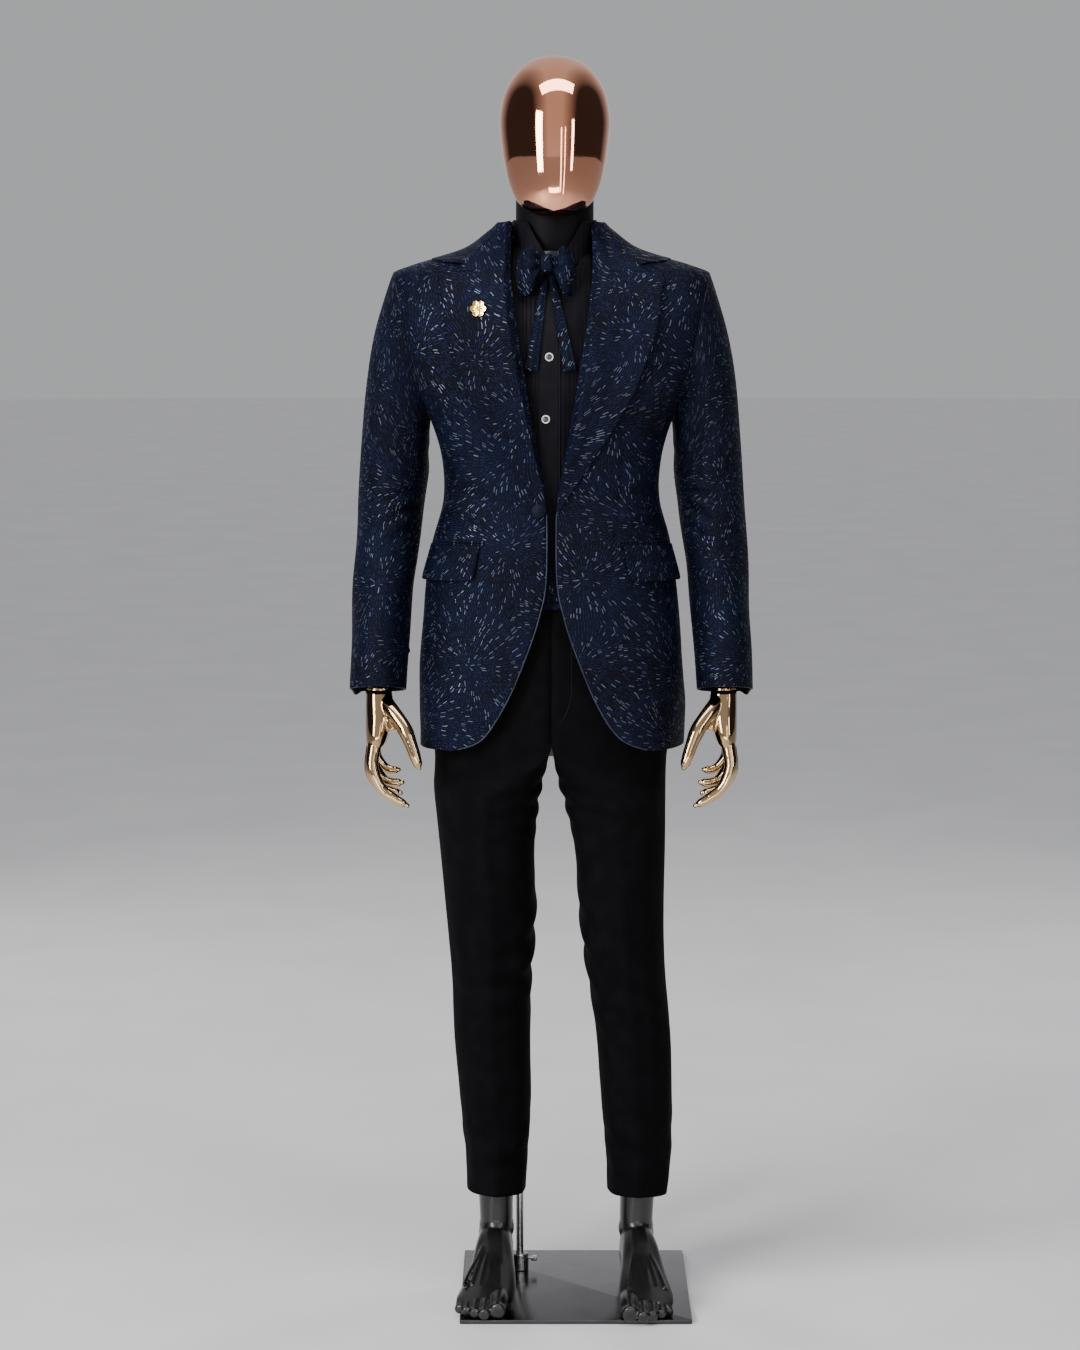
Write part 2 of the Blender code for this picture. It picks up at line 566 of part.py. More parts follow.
def build_trunk(parent):
    chest = loft([level_ring(z, w, f, b, p) for z, w, f, b, p in CHEST], 20, capped=False)
    chest = thicken(make_object("torso_shell", chest, BLACK, parent), SHELL)
    for side in (-1, 1):
        cut_at_shoulder(chest, side, TOUCH / 2)
    hips = loft([level_ring(z, w, f, b, p) for z, w, f, b, p in HIPS], 20, capped=False)
    thicken(make_object("hip_shell", hips, BLACK, parent), SHELL)
    # the twist-lock discs of the waist, and their pin
    disc = 0.110, -0.070, 0.062
    waist = [WAIST_Z + 0.002, WAIST_Z + 0.002 + DISC]
    upper = loft([level_ring(z, *disc) for z in waist], 16)
    upper = make_object("waist_lock_upper", upper, STEEL, parent)
    pin_hole = post(STUD_RADIUS + FIT, 0.03, (FIGURE_X, 0, WAIST_Z - 0.01))
    combine(upper, guide("waist_pin_hole", pin_hole), "DIFFERENCE")
    lower = loft([level_ring(z, *disc) for z in (waist[0] - DISC - TOUCH, waist[0] - TOUCH)], 16)
    lower = make_object("waist_lock_lower", lower, STEEL, parent)
    combine(lower, guide("waist_pin", post(STUD_RADIUS, 0.02, (FIGURE_X, 0, WAIST_Z - 0.003))), "UNION")
    # the removable leg's lock
    x = LEG_RIGHT[-1][1]
    pin_end = DISC + 0.020
    profile = [(0, 0), (LEG_DISC, 0), (LEG_DISC, DISC), (STUD_RADIUS, DISC), (STUD_RADIUS, pin_end),
               (0, pin_end)]
    make_object("leg_lock", turned(profile, (x, 0, HIP_Z - DISC - 0.004), steps=20), STEEL, parent)


def build_neck_and_head(parent):
    x = FIGURE_X + NECK_X
    levels = ((1.520, 0.0535), (1.600, NECK_RADIUS - 0.001), (1.650, NECK_RADIUS), (NECK_TOP, NECK_RADIUS))
    rings = [level_ring(z, r, NECK_Y - r, NECK_Y + r, 2.0, x=x) for z, r in levels]
    thicken(make_object("neck", loft(rings, 20, capped=False), BLACK, parent), SHELL)
    plate_r = NECK_RADIUS - SHELL - 3 * TOUCH
    pin_end = 0.030
    profile = [(0, 0), (plate_r, 0), (plate_r, DISC), (STUD_RADIUS, DISC), (STUD_RADIUS, pin_end),
               (0, pin_end)]
    make_object("head_spigot", turned(profile, (x, NECK_Y, NECK_TOP - DISC)), STEEL, parent)
    head = body_empty("head", (x, NECK_Y, NECK_TOP), parent)
    rings = [level_ring(z, w, f, b, 2.0, x=x) for z, w, f, b in EGG]
    egg = make_object("head_shell", loft(rings, 22), ROSE_GOLD, head)
    crown = len(EGG) - 2
    core = []
    for i, (z, w, f, b) in enumerate(EGG[1:-1], 1):
        drop = 1.5 * SHELL if i >= crown else 0
        core.append(level_ring(z - drop, w - SHELL, f + SHELL, b - SHELL, 2.0, x=x))
    combine(egg, guide("head_core", loft(core, 22)), "DIFFERENCE")
    neck_way = post(NECK_RADIUS + 0.0015, 0.12, (x, NECK_Y, NECK_TOP - 0.1155), steps=24)
    combine(egg, guide("neck_way", neck_way), "DIFFERENCE")
    inner = STUD_RADIUS + FIT
    low, top, lid = NECK_TOP + 0.001, NECK_TOP + 0.026, 0.0015
    profile = [(inner, low), (SOCKET_DISC, low), (SOCKET_DISC, top), (0, top), (0, top - lid),
               (inner, top - lid), (inner, low)]
    make_object("head_socket", turned(profile, (x, NECK_Y, 0)), STEEL, head)


def arm_line():
    return (Vector((WRIST_X, WRIST_Y, WRIST_Z)) - Vector((ELBOW_X, ELBOW_Y, ELBOW_Z))).normalized()


def hand_solid(side):
    """The palm, as the piece that the digits are joined to, and the digits."""
    rings = []
    for x, y, z, wide, thick in PALM:
        def ring(angle, x=x, y=y, z=z, wide=wide, thick=thick):
            c, s = rounded(angle, 2.4)
            return (FIGURE_X + side * (x + c * thick), y + s * wide, z)
        rings.append(ring)
    digits = {}
    for name, (points, root, tip) in FINGERS.items():
        path = [(FIGURE_X + side * x, y, z) for x, y, z in points]
        digits[name] = limb(path, root, tip)
    return loft(rings, 14), digits


def build_arm(name, side, parent):
    point, normal = cut_face(side)
    arm = body_empty(name + "_arm_axis", point, parent)
    start = -0.004
    rings = [cut_ring(side, ARM_TOP, 0.047, start)] + [side_ring(*r, side) for r in ARM]
    upper = thicken(make_object(name + "_arm", loft(rings, 14, capped=False), BLACK, arm), SHELL)
    cut_at_shoulder(upper, side, TOUCH / 2, keep_inner=False)
    # shoulder lock: a disc in the chest with a hole, a disc in the arm with a pin
    radius, hole = SHOULDER_DISC, STUD_RADIUS + FIT
    ring = [(hole, 0), (radius, 0), (radius, DISC), (hole, DISC), (hole, 0)]
    place, _ = cut_face(side, -DISC - TOUCH)
    make_object(name + "_shoulder_lock", turned(ring, place, normal), STEEL, parent)
    profile = [(0, -0.010), (STUD_RADIUS, -0.010), (STUD_RADIUS, 0), (radius, 0), (radius, DISC), (0, DISC)]
    place, _ = cut_face(side, TOUCH)
    make_object(name + "_arm_lock", turned(profile, place, normal), STEEL, arm)
    # wrist lock: a disc in the forearm with a hole, and the hand's own pin
    line = arm_line()
    line.x *= side
    wrist = Vector((FIGURE_X + side * WRIST_X, WRIST_Y, WRIST_Z))
    ring = [(hole, 0), (WRIST_DISC, 0), (WRIST_DISC, DISC), (hole, DISC), (hole, 0)]
    make_object(name + "_wrist_lock", turned(ring, wrist - line * (DISC + 0.004), line, 16), STEEL, arm)
    hand = body_empty(name + "_hand_axis", wrist, arm)
    palm, digits = hand_solid(side)
    palm = make_object(name + "_hand", palm, DARK_GOLD, hand)
    pin = post(STUD_RADIUS, 0.032, wrist - line * 0.011, line, 12)
    combine(palm, guide(name + "_hand_pin", pin), "UNION")
    for digit, bm in digits.items():
        combine(palm, guide(f"{name}_{digit}", bm), "UNION")
    # the sleeve moves with the arm
    rings = [cut_ring(side, SLEEVE_TOP, SLEEVE_DEPTH, start)] + [side_ring(*r, side) for r in SLEEVE]
    sleeve = thicken(make_object(name + "_sleeve", loft(rings, 18, capped=False), BROCADE, arm), CLOTH)
    cut_at_shoulder(sleeve, side, TOUCH, keep_inner=False)


# ---- the clothes ----
def jacket_angle(row, x):
    """The angle on a jacket row at which it is x from the middle, on the front."""
    z, half, front, back, power = row
    return math.acos(min(1.0, max(-1.0, math.copysign((abs(x) / half) ** (power / 2), x))))


def jacket_panel(rows, start, end, columns, side=1, grow=0.0):
    """A sheet on the jacket's form, from angle start(row) to end(row): 0 at the side, 90 at the front."""
    last = len(rows) - 1

    def place(u, v):
        row = rows[round(v * last)]
        z, half, front, back, power = row
        a, b = start(row), end(row)
        angle = -(a + (b - a) * u)
        x, y, z = level_ring(z, half, front, back, power, grow, x=0)(angle)
        return (FIGURE_X + side * x, y, z)
    return grid(columns, last, place)


def build_jacket(parent):
    for name, side in (("right", -1), ("left", 1)):
        front = jacket_panel(JACKET, lambda r: SEAM + SEAM_GAP / r[1],
                             lambda r: jacket_angle(r, at(FRONT_EDGE, r[0])), 9, side)
        front = make_object("jacket_front_" + name, front, BROCADE, parent, sheet=True)
        cut_at_shoulder(thicken(front, CLOTH), side, TOUCH)
        # the lapel lies on the front
        rows = [r for r in JACKET if 1.22 < r[0] < 1.59]
        lapel = jacket_panel(rows, lambda r: jacket_angle(r, at(LAPEL_EDGE, r[0])),
                             lambda r: jacket_angle(r, at(FRONT_EDGE, r[0]) + 0.001), 5, side, LAPEL_LIFT)
        lapel = make_object("lapel_" + name, lapel, BROCADE, parent, sheet=True)
        cut_at_shoulder(thicken(lapel, CLOTH), side, TOUCH)
    back = jacket_panel(JACKET, lambda r: SEAM, lambda r: math.radians(-180) - SEAM, 14)
    back = thicken(make_object("jacket_back", back, BROCADE, parent, sheet=True), CLOTH)
    for side in (-1, 1):
        cut_at_shoulder(back, side, TOUCH)
    rows = [r for r in JACKET if r[0] > 1.60]
    collar = jacket_panel(rows, lambda r: math.radians(34), lambda r: math.radians(-214), 20,
                          grow=COLLAR_LIFT)
    thicken(make_object("jacket_collar", collar, BROCADE, parent, sheet=True), CLOTH)


def on_jacket(x, z, grow):
    """A point over the jacket's front, at x from the figure's middle."""
    levels = [r[0] for r in JACKET]
    index = max(i for i, level in enumerate(levels) if level <= z)
    low, high = JACKET[index], JACKET[min(index + 1, len(JACKET) - 1)]
    share = (z - low[0]) / max(high[0] - low[0], 0.001)
    row = [a + (b - a) * share for a, b in zip(low, high)]
    row[0] = z
    angle = -jacket_angle(row, x)
    return Vector(level_ring(z, row[1], row[2], row[3], row[4], grow)(angle))


def patch(corners, grow, columns=4, rows=3):
    """A small sheet over the jacket's front between four (x, z) corners, in order round it."""
    def place(u, v):
        (ax, az), (bx, bz), (cx, cz), (dx, dz) = corners
        low = (ax + (bx - ax) * u, az + (bz - az) * u)
        high = (dx + (cx - dx) * u, dz + (cz - dz) * u)
        x, z = low[0] + (high[0] - low[0]) * v, low[1] + (high[1] - low[1]) * v
        return on_jacket(x, z, grow)
    return grid(columns, rows, place)


def build_jacket_trims(parent):
    for name, side in (("right", -1), ("left", 1)):
        corners = [(side * abs(x), z) for x, z in POCKET]
        flap = make_object("pocket_flap_" + name, patch(corners, LAPEL_LIFT), BROCADE, parent, sheet=True)
        thicken(flap, CLOTH)
    thin = CLOTH * 0.6
    welt = make_object("breast_welt", patch(WELT, thin + 3 * TOUCH, 3, 2), BROCADE, parent, sheet=True)
    thicken(welt, thin)
    button = on_jacket(BUTTON_X, BUTTON_Z, 0.48 * CLOTH)
    profile = [(0, 0), (0.0095, 0), (0.0100, 0.0025), (0.0070, 0.0050), (0, 0.0055)]
    make_object("jacket_button", turned(profile, button, (0, -1, 0), 14), BROCADE, parent)
    pin = on_jacket(PIN_X, PIN_Z, LAPEL_LIFT + 0.002)
    profile = [(0, 0), (0.0095, 0), (0.0100, 0.002), (0.0045, 0.003), (0.0040, 0.005), (0, 0.0055)]
    make_object("lapel_pin", turned(profile, pin, (-0.2, -0.96, 0.15), 12), GOLD, parent)


def build_shirt(parent):
    grown = 0.003 + SHIRTING
    waist = (1.1085, 0.1385, -0.0925, 0.0815, 2.3)
    rows = [waist] + [r for r in CHEST if r[0] > 1.15]
    shirt = loft([level_ring(*r, grow=grown) for r in rows], 20, capped=False)
    shirt = thicken(make_object("shirt_body", shirt, SHIRT_BLACK, parent), SHIRTING)
    for side in (-1, 1):
        cut_at_shoulder(shirt, side, TOUCH / 2)
    x = FIGURE_X + NECK_X
    band = [level_ring(z, r, NECK_Y - r, NECK_Y + r, 2.0, x=x)
            for z, r in ((1.604, 0.0672), (1.618, 0.0650), (1.645, 0.0638))]
    thicken(make_object("shirt_collar", loft(band, 20, capped=False), SHIRT_BLACK, parent), SHIRTING)
    for name, z, front in STUD_LEVELS:
        profile = [(0, 0), (0.0055, 0), (0.0060, 0.0012), (0.0040, 0.0024), (0, 0.0024)]
        place = (FIGURE_X - 0.003, front, z)
        make_object("shirt_stud_" + name, turned(profile, place, (0, -1, 0), 12), PEARL, parent)


def build_bow(parent):
    x, y, z = FIGURE_X + BOW_X, BOW_Y, BOW_Z
    knot = [level_ring(z + h, w, y - d, y + d, 2.6, x=x) for h, w, d in
            ((-0.012, 0.008, 0.006), (0.0, 0.0095, 0.009), (0.012, 0.008, 0.006))]
    make_object("bow_knot", loft(knot, 12), BROCADE, parent)
    for name, side in (("right", -1), ("left", 1)):
        rings = []
        for out, low, high, thick in ((0.0105, -0.007, 0.007, 0.004), (0.024, -0.020, 0.019, 0.0085),
                                      (0.040, -0.027, 0.026, 0.0080), (0.0445, -0.026, 0.025, 0.0035)):
            def ring(angle, out=out, low=low, high=high, thick=thick):
                c, s = rounded(angle, 2.6)
                level = z - 0.06 * out + (low + high) / 2 + c * (high - low) / 2
                return (x + side * out, y - 0.001 + s * thick, level)
            rings.append(ring)
        make_object("bow_loop_" + name, loft(rings, 12), BROCADE, parent)
        drop = [(0.0045, 1.5565, -0.0935, 0.0035), (0.0110, 1.510, -0.1080, 0.0045),
                (0.0210, 1.460, -0.1190, 0.0060), (0.0300, 1.425, -0.1235, 0.0080)]
        tail = [level_ring(level, half, front - 0.0011, front + 0.0011, 4.0, x=x + side * out)
                for out, level, front, half in drop]
        make_object("bow_tail_" + name, loft(tail[::-1], 12), BROCADE, parent)


def build_waistwear(parent):
    rows = ((1.072, 0.1565, -0.1070, 0.0975), (1.104, 0.1530, -0.1050, 0.0935),
            (1.136, 0.1500, -0.1035, 0.0900))
    band = [level_ring(z, w, f, b, 2.3) for z, w, f, b in rows]
    thicken(make_object("cummerbund", loft(band, 20, capped=False), BROCADE, parent), CLOTH * 0.8)

    def hip_rings(wall, extra):
        rows = [(z, w, f, b, p) for z, w, f, b, p in SEAT]
        rows[-1] = (rows[-1][0] + extra, *rows[-1][1:])
        return [level_ring(*r, grow=-wall) for r in rows]

    def leg_rings(outline, wall, extra):
        made = []
        for i, (z, a, b, y, depth) in enumerate(outline):
            drop = extra if i == 0 else 0
            power = 3.0 if i < 3 else 2.6
            made.append(level_ring(z - drop, (b - a) / 2 - wall, y - depth + wall, y + depth - wall, power,
                                   x=(a + b) / 2))
        return made
    trousers = make_object("trousers", loft(hip_rings(0, 0), 20), WOOL, parent)
    for name, outline in (("right", TROUSER_LEFT), ("left", TROUSER_RIGHT)):
        combine(trousers, guide(f"trouser_{name}", loft(leg_rings(outline, 0, 0), 18)), "UNION")
    combine(trousers, guide("trouser_seat_core", loft(hip_rings(SHIRTING, 0.01), 20)), "DIFFERENCE")
    for name, outline in (("right", TROUSER_LEFT), ("left", TROUSER_RIGHT)):
        core = loft(leg_rings(outline, SHIRTING, 0.01), 18)
        combine(trousers, guide(f"trouser_{name}_core", core), "DIFFERENCE")


def main():
    for old in list(bpy.data.objects):
        bpy.data.objects.remove(old)
    base = body_empty("base")
    figure = body_empty("figure", (ROD_X, ROD_Y, ROD_TOP), base)
    build_base(base)
    build_legs(figure)
    build_trunk(figure)
    build_neck_and_head(figure)
    build_arm("right", -1, figure)
    build_arm("left", 1, figure)
    build_shirt(figure)
    build_bow(figure)
    build_waistwear(figure)
    build_jacket(figure)
    build_jacket_trims(figure)


main()
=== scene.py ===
import bpy
import bmesh
import math
from mathutils import Matrix, Vector, noise


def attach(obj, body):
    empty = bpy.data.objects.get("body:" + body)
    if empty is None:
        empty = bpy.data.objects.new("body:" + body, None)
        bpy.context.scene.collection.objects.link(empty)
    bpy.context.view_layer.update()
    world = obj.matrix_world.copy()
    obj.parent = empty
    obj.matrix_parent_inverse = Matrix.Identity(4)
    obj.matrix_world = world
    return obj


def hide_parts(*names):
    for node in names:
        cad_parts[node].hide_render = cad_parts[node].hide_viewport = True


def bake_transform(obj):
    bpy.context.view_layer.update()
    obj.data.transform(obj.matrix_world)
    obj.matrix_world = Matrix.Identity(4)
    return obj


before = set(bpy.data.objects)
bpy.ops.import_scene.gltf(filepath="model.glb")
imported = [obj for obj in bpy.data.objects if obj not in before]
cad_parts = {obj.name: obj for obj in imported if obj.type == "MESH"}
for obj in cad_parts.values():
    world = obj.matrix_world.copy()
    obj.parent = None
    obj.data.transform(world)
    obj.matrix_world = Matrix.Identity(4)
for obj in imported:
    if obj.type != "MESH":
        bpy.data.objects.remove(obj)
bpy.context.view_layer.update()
print("frame loaded:", len(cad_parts), "nodes")

# where the figure stands over its plate, and the lines its limbs turn on
figure = {"middle": -0.037, "neckX": -0.032, "neckY": 0.004, "neckRadius": 0.058,
          "shoulderX": 0.2075, "shoulderZ": 1.455, "shoulderTilt": math.radians(14)}
cloth = {"wall": 0.0022, "shirting": 0.0012}


# shader helpers
class Wire:
    # one socket, so that sums on sockets read as sums on numbers
    def __init__(self, paint, socket):
        self.paint = paint
        self.socket = socket

    def maths(self, operation, *others, flip=False):
        sides = [self, *others]
        if flip:
            sides.reverse()
        return self.paint.node("ShaderNodeMath", {"operation": operation}, dict(enumerate(sides)))

    def __add__(self, other):
        return self.maths("ADD", other)

    def __sub__(self, other):
        return self.maths("SUBTRACT", other)

    def __rsub__(self, other):
        return self.maths("SUBTRACT", other, flip=True)

    def __mul__(self, other):
        return self.maths("MULTIPLY", other)

    def __truediv__(self, other):
        return self.maths("DIVIDE", other)

    def __rtruediv__(self, other):
        return self.maths("DIVIDE", other, flip=True)

    def __rpow__(self, other):
        return self.maths("POWER", other, flip=True)

    def __gt__(self, other):
        return self.maths("GREATER_THAN", other)

    def __lt__(self, other):
        return self.maths("LESS_THAN", other)

    __radd__ = __add__
    __rmul__ = __mul__

    def part(self, name):
        return self.maths(name)

    def fade(self, low, high, start=0.0, end=1.0):
        # start at low and under, end at high and over, eased between
        settings = {"interpolation_type": "SMOOTHSTEP"}
        return self.paint.node("ShaderNodeMapRange", settings, {0: self, 1: low, 2: high, 3: start, 4: end})


class Paint:
    # a material with its nodes, made from plain calls
    def __init__(self, name, **plain):
        self.material = bpy.data.materials.new(name)
        self.material.use_nodes = True
        self.nodes = self.material.node_tree.nodes
        self.shader = self.nodes["Principled BSDF"]
        for socket, value in plain.items():
            self.put(socket.replace("_", " "), value)

    def node(self, kind, settings=None, values=None, output=0):
        made = self.nodes.new(kind)
        for key, value in (settings or {}).items():
            if key == "stops":
                for spot, (place, colour) in zip(made.color_ramp.elements, value):
                    spot.position = place
                    spot.color = (*colour, 1)
            else:
                setattr(made, key, value)
        for key, value in (values or {}).items():
            self.feed(made.inputs[key], value)
        return Wire(self, made.outputs[output])

    def feed(self, socket, value):
        if isinstance(value, Wire):
            self.material.node_tree.links.new(value.socket, socket)
        elif socket.type == "RGBA" and len(value) == 3:
            socket.default_value = (*value, 1)
        else:
            socket.default_value = value

    def put(self, name, value):
        self.feed(self.shader.inputs[name], value)

    def place(self):
        return self.node("ShaderNodeTexCoord", output="Object")

    def flat(self):
        return self.node("ShaderNodeUVMap", {"uv_map": "cloth"})

    def vector(self, operation, a, b=None, output=0):
        values = {0: a} if b is None else {0: a, "Scale" if operation == "SCALE" else 1: b}
        return self.node("ShaderNodeVectorMath", {"operation": operation}, values, output)

    def split(self, vector):
        made = self.nodes.new("ShaderNodeSeparateXYZ")
        self.feed(made.inputs[0], vector)
        return [Wire(self, socket) for socket in made.outputs]

    def join(self, x, y, z=0.0):
        return self.node("ShaderNodeCombineXYZ", None, {0: x, 1: y, 2: z})

    def noise(self, where, scale, detail=3.0, output="Fac"):
        return self.node("ShaderNodeTexNoise", None, {"Vector": where, "Scale": scale, "Detail": detail},
                         output)

    def mix(self, share, a, b):
        return self.node("ShaderNodeMix", {"data_type": "RGBA"}, {0: share, 6: a, 7: b}, 2)

    def bump(self, height, depth, over=None):
        values = {"Height": height, "Distance": depth, "Strength": 1.0}
        if over is not None:
            values["Normal"] = over
        return self.node("ShaderNodeBump", None, values)


def brocadePaint(name, look):
    # metallic threads in broken rays that spread from scattered centres
    paint = Paint(name, Metallic=0.0)
    flat = paint.flat()
    sway = paint.noise(flat, look["swayScale"], 1.0, "Color")
    sway = paint.vector("SCALE", paint.vector("SUBTRACT", sway, (0.5, 0.5, 0.5)), look["sway"])
    drift = paint.noise(flat, look["swayScale"] * 5, 1.0, "Color")
    drift = paint.vector("SCALE", paint.vector("SUBTRACT", drift, (0.5, 0.5, 0.5)), look["sway"] * 0.22)
    bent = paint.vector("ADD", flat, paint.vector("ADD", sway, drift))
    cells = {"Vector": bent, "Scale": 1 / look["burst"], "Randomness": 0.85}
    middle = paint.node("ShaderNodeTexVoronoi", {"voronoi_dimensions": "2D"}, cells, "Position")
    x, y, _ = paint.split(paint.vector("SUBTRACT", bent, middle))
    radius = (x * x + y * y).part("SQRT") + 0.0005
    ring = (radius / look["heart"]).maths("LOGARITHM", 2.0).part("FLOOR").maths("MAXIMUM", 0.0)
    rays = 2.0 ** ring * look["rays"]
    turn = y.maths("ARCTAN2", x) / math.tau + 0.5
    spoke = turn * rays
    spokeNumber = spoke.part("FLOOR")
    chance = {"noise_dimensions": "2D"}
    shift = paint.node("ShaderNodeTexWhiteNoise", chance, {"Vector": paint.join(spokeNumber, ring * 37.0)},
                       "Value")
    step = radius / look["dash"] + shift * 5.0
    stepNumber = step.part("FLOOR")
    across = (spoke - spokeNumber - 0.5).part("ABSOLUTE") * radius * math.tau / rays
    along = (step - stepNumber - 0.5).part("ABSOLUTE")
    thread = (across.fade(look["thread"] * 0.35, look["thread"] * 0.75, 1.0, 0.0)
              * along.fade(0.30, 0.42, 1.0, 0.0))
    seed = paint.join(spokeNumber + ring * 131.0, stepNumber)
    luck = paint.node("ShaderNodeTexWhiteNoise", chance, {"Vector": seed}, "Value")
    thread = thread * luck.fade(0.04, 0.45)
    bright = thread * luck.fade(look["brightFrom"], look["brightFrom"] + 0.1)
    patchy = paint.noise(flat, 9.0, 2.0).fade(0.35, 0.7)
    ground = paint.mix(patchy, look["ground"], look["groundLight"])
    colour = paint.mix(thread * 0.9, ground, look["threadColour"])
    colour = paint.mix(bright, colour, look["silver"])
    paint.put("Base Color", colour)
    paint.put("Metallic", thread * 0.40 + bright * 0.30)
    paint.put("Roughness", 0.62 - thread * 0.18 - bright * 0.12)
    ribs = paint.node("ShaderNodeTexWave", {"bands_direction": "DIAGONAL"},
                      {"Vector": flat, "Scale": 260.0})
    paint.put("Normal", paint.bump(thread * 0.85 + ribs * 0.15, look["relief"]))
    paint.put("Specular IOR Level", 0.08)
    return paint.material


brocade = {"burst": 0.150, "sway": 0.060, "swayScale": 5.0, "heart": 0.0085, "rays": 21.0, "dash": 0.0100,
           "thread": 0.0013, "brightFrom": 0.80, "relief": 0.0012,
           "ground": (0.0007, 0.0010, 0.0034), "groundLight": (0.0014, 0.0024, 0.0100),
           "threadColour": (0.0080, 0.0135, 0.0450), "silver": (0.090, 0.105, 0.160)}
brocadeCloth = brocadePaint("navyBrocade", brocade)


def plainCloth(name, ground, light, rough, scale, relief=0.0002, sheen=0.02, gloss=0.12):
    # fine cloth: a soft mottle and a weave
    paint = Paint(name)
    where = paint.place()
    mottle = paint.noise(where, 40.0, 3.0)
    weave = paint.node("ShaderNodeTexWave", {"bands_direction": "DIAGONAL"},
                       {"Vector": where, "Scale": scale, "Distortion": 1.0, "Detail": 1.0})
    paint.put("Base Color", paint.mix(mottle.fade(0.3, 0.75) * 0.6 + weave * 0.3, ground, light))
    paint.put("Roughness", rough - weave * 0.08)
    paint.put("Normal", paint.bump(weave, relief))
    paint.put("Specular IOR Level", gloss)
    paint.put("Sheen Weight", sheen)
    paint.put("Sheen Roughness", 0.5)
    return paint.material


woolCloth = plainCloth("blackWool", (0.0014, 0.0014, 0.0019), (0.0034, 0.0034, 0.0042), 0.85, 420.0,
                       sheen=0.0, gloss=0.05)
shirtCloth = plainCloth("blackShirting", (0.0020, 0.0020, 0.0034), (0.0048, 0.0048, 0.0074), 0.60, 700.0,
                        relief=0.0001, sheen=0.0, gloss=0.08)
liningCloth = plainCloth("blackLining", (0.003, 0.003, 0.004), (0.006, 0.006, 0.008), 0.45, 500.0,
                         relief=0.00005)
satinCloth = plainCloth("neckSatin", (0.0022, 0.0022, 0.0032), (0.0050, 0.0050, 0.0070), 0.55, 600.0,
                        relief=0.00005, gloss=0.06)


def mirrorMetal(name, colour, deep, rough):
    # plated metal: slight unevenness in tone, in polish and in the surface itself
    paint = Paint(name, Metallic=1.0)
    where = paint.place()
    tone = paint.noise(where, 6.0, 2.0)
    haze = paint.noise(where, 55.0, 4.0)
    paint.put("Base Color", paint.mix(tone.fade(0.35, 0.7), colour, deep))
    paint.put("Roughness", haze * 0.05 + rough)
    paint.put("Normal", paint.bump(paint.noise(where, 22.0, 2.0), 0.00012))
    return paint.material


roseChrome = mirrorMetal("roseGoldChrome", (0.93, 0.43, 0.27), (0.84, 0.33, 0.19), 0.02)
goldChrome = mirrorMetal("darkGoldChrome", (0.56, 0.40, 0.23), (0.42, 0.28, 0.15), 0.05)
pinGold = mirrorMetal("pinGold", (0.98, 0.66, 0.16), (0.86, 0.52, 0.10), 0.12)


def glossBlack(name):
    # lacquered shell with a faint orange-peel and light dust
    paint = Paint(name, Metallic=0.0)
    where = paint.place()
    dust = paint.noise(where, 120.0, 5.0)
    paint.put("Base Color", paint.mix(dust.fade(0.55, 0.8), (0.003, 0.003, 0.0035), (0.007, 0.007, 0.0075)))
    paint.put("Roughness", paint.noise(where, 30.0, 3.0) * 0.10 + 0.26)
    paint.put("Normal", paint.bump(paint.noise(where, 160.0, 2.0), 0.00006))
    paint.put("Coat Weight", 0.2)
    paint.put("Coat Roughness", 0.08)
    return paint.material


shellBlack = glossBlack("blackGlossShell")


def steelPaint(name, colour, rough, brushed=0.0):
    # polished steel with fine drawn lines and faint wear
    paint = Paint(name, Metallic=1.0)
    where = paint.place()
    x, y, z = paint.split(where)
    drawn = paint.noise(paint.join(x * 4.0, y * 400.0, z * 60.0), 1.0, 2.0)
    worn = paint.noise(where, 14.0, 4.0)
    dark = tuple(c * 0.75 for c in colour)
    paint.put("Base Color", paint.mix(worn.fade(0.4, 0.7), colour, dark))
    paint.put("Roughness", drawn * brushed + worn * 0.08 + rough)
    paint.put("Normal", paint.bump(drawn, 0.00002))
    return paint.material


plateSteel = steelPaint("plateSteel", (0.075, 0.075, 0.079), 0.10, 0.10)
turnedSteel = steelPaint("turnedSteel", (0.42, 0.42, 0.43), 0.18, 0.12)
edgeCord = plainCloth("edgeCord", (0.010, 0.013, 0.030), (0.040, 0.050, 0.090), 0.45, 900.0, gloss=0.3)
brocadePlain = plainCloth("coveredButton", (0.0015, 0.0024, 0.0080), (0.0055, 0.0090, 0.0300), 0.5, 900.0)
pearl = plainCloth("pearlRing", (0.62, 0.60, 0.55), (0.80, 0.79, 0.76), 0.24, 300.0, relief=0.00003,
                   sheen=0.0, gloss=0.5)
studDark = plainCloth("studEye", (0.02, 0.02, 0.024), (0.06, 0.06, 0.07), 0.20, 300.0, relief=0.00003,
                      sheen=0.0, gloss=0.5)
print("materials made")

# mesh helpers
def smoothRow(rows, t):
    # an outline between its stations, on a smooth curve through them
    last = len(rows) - 1
    i = min(max(int(t), 0), last - 1)
    s = t - i
    a, b, c, d = (rows[max(0, min(last, k))] for k in (i - 1, i, i + 1, i + 2))
    return tuple(0.5 * (2 * q + (r - p) * s + (2 * p - 5 * q + 4 * r - w) * s * s + (3 * q - p - 3 * r + w)
                        * s ** 3)
                 for p, q, r, w in zip(a, b, c, d))


def stationAt(rows, z):
    # how far along its stations an outline reaches a height
    low, high = 0.0, float(len(rows) - 1)
    for _ in range(26):
        middle = (low + high) / 2
        if smoothRow(rows, middle)[0] < z:
            low = middle
        else:
            high = middle
    return low


def rowAt(rows, z):
    return (z, *smoothRow(rows, stationAt(rows, z))[1:])


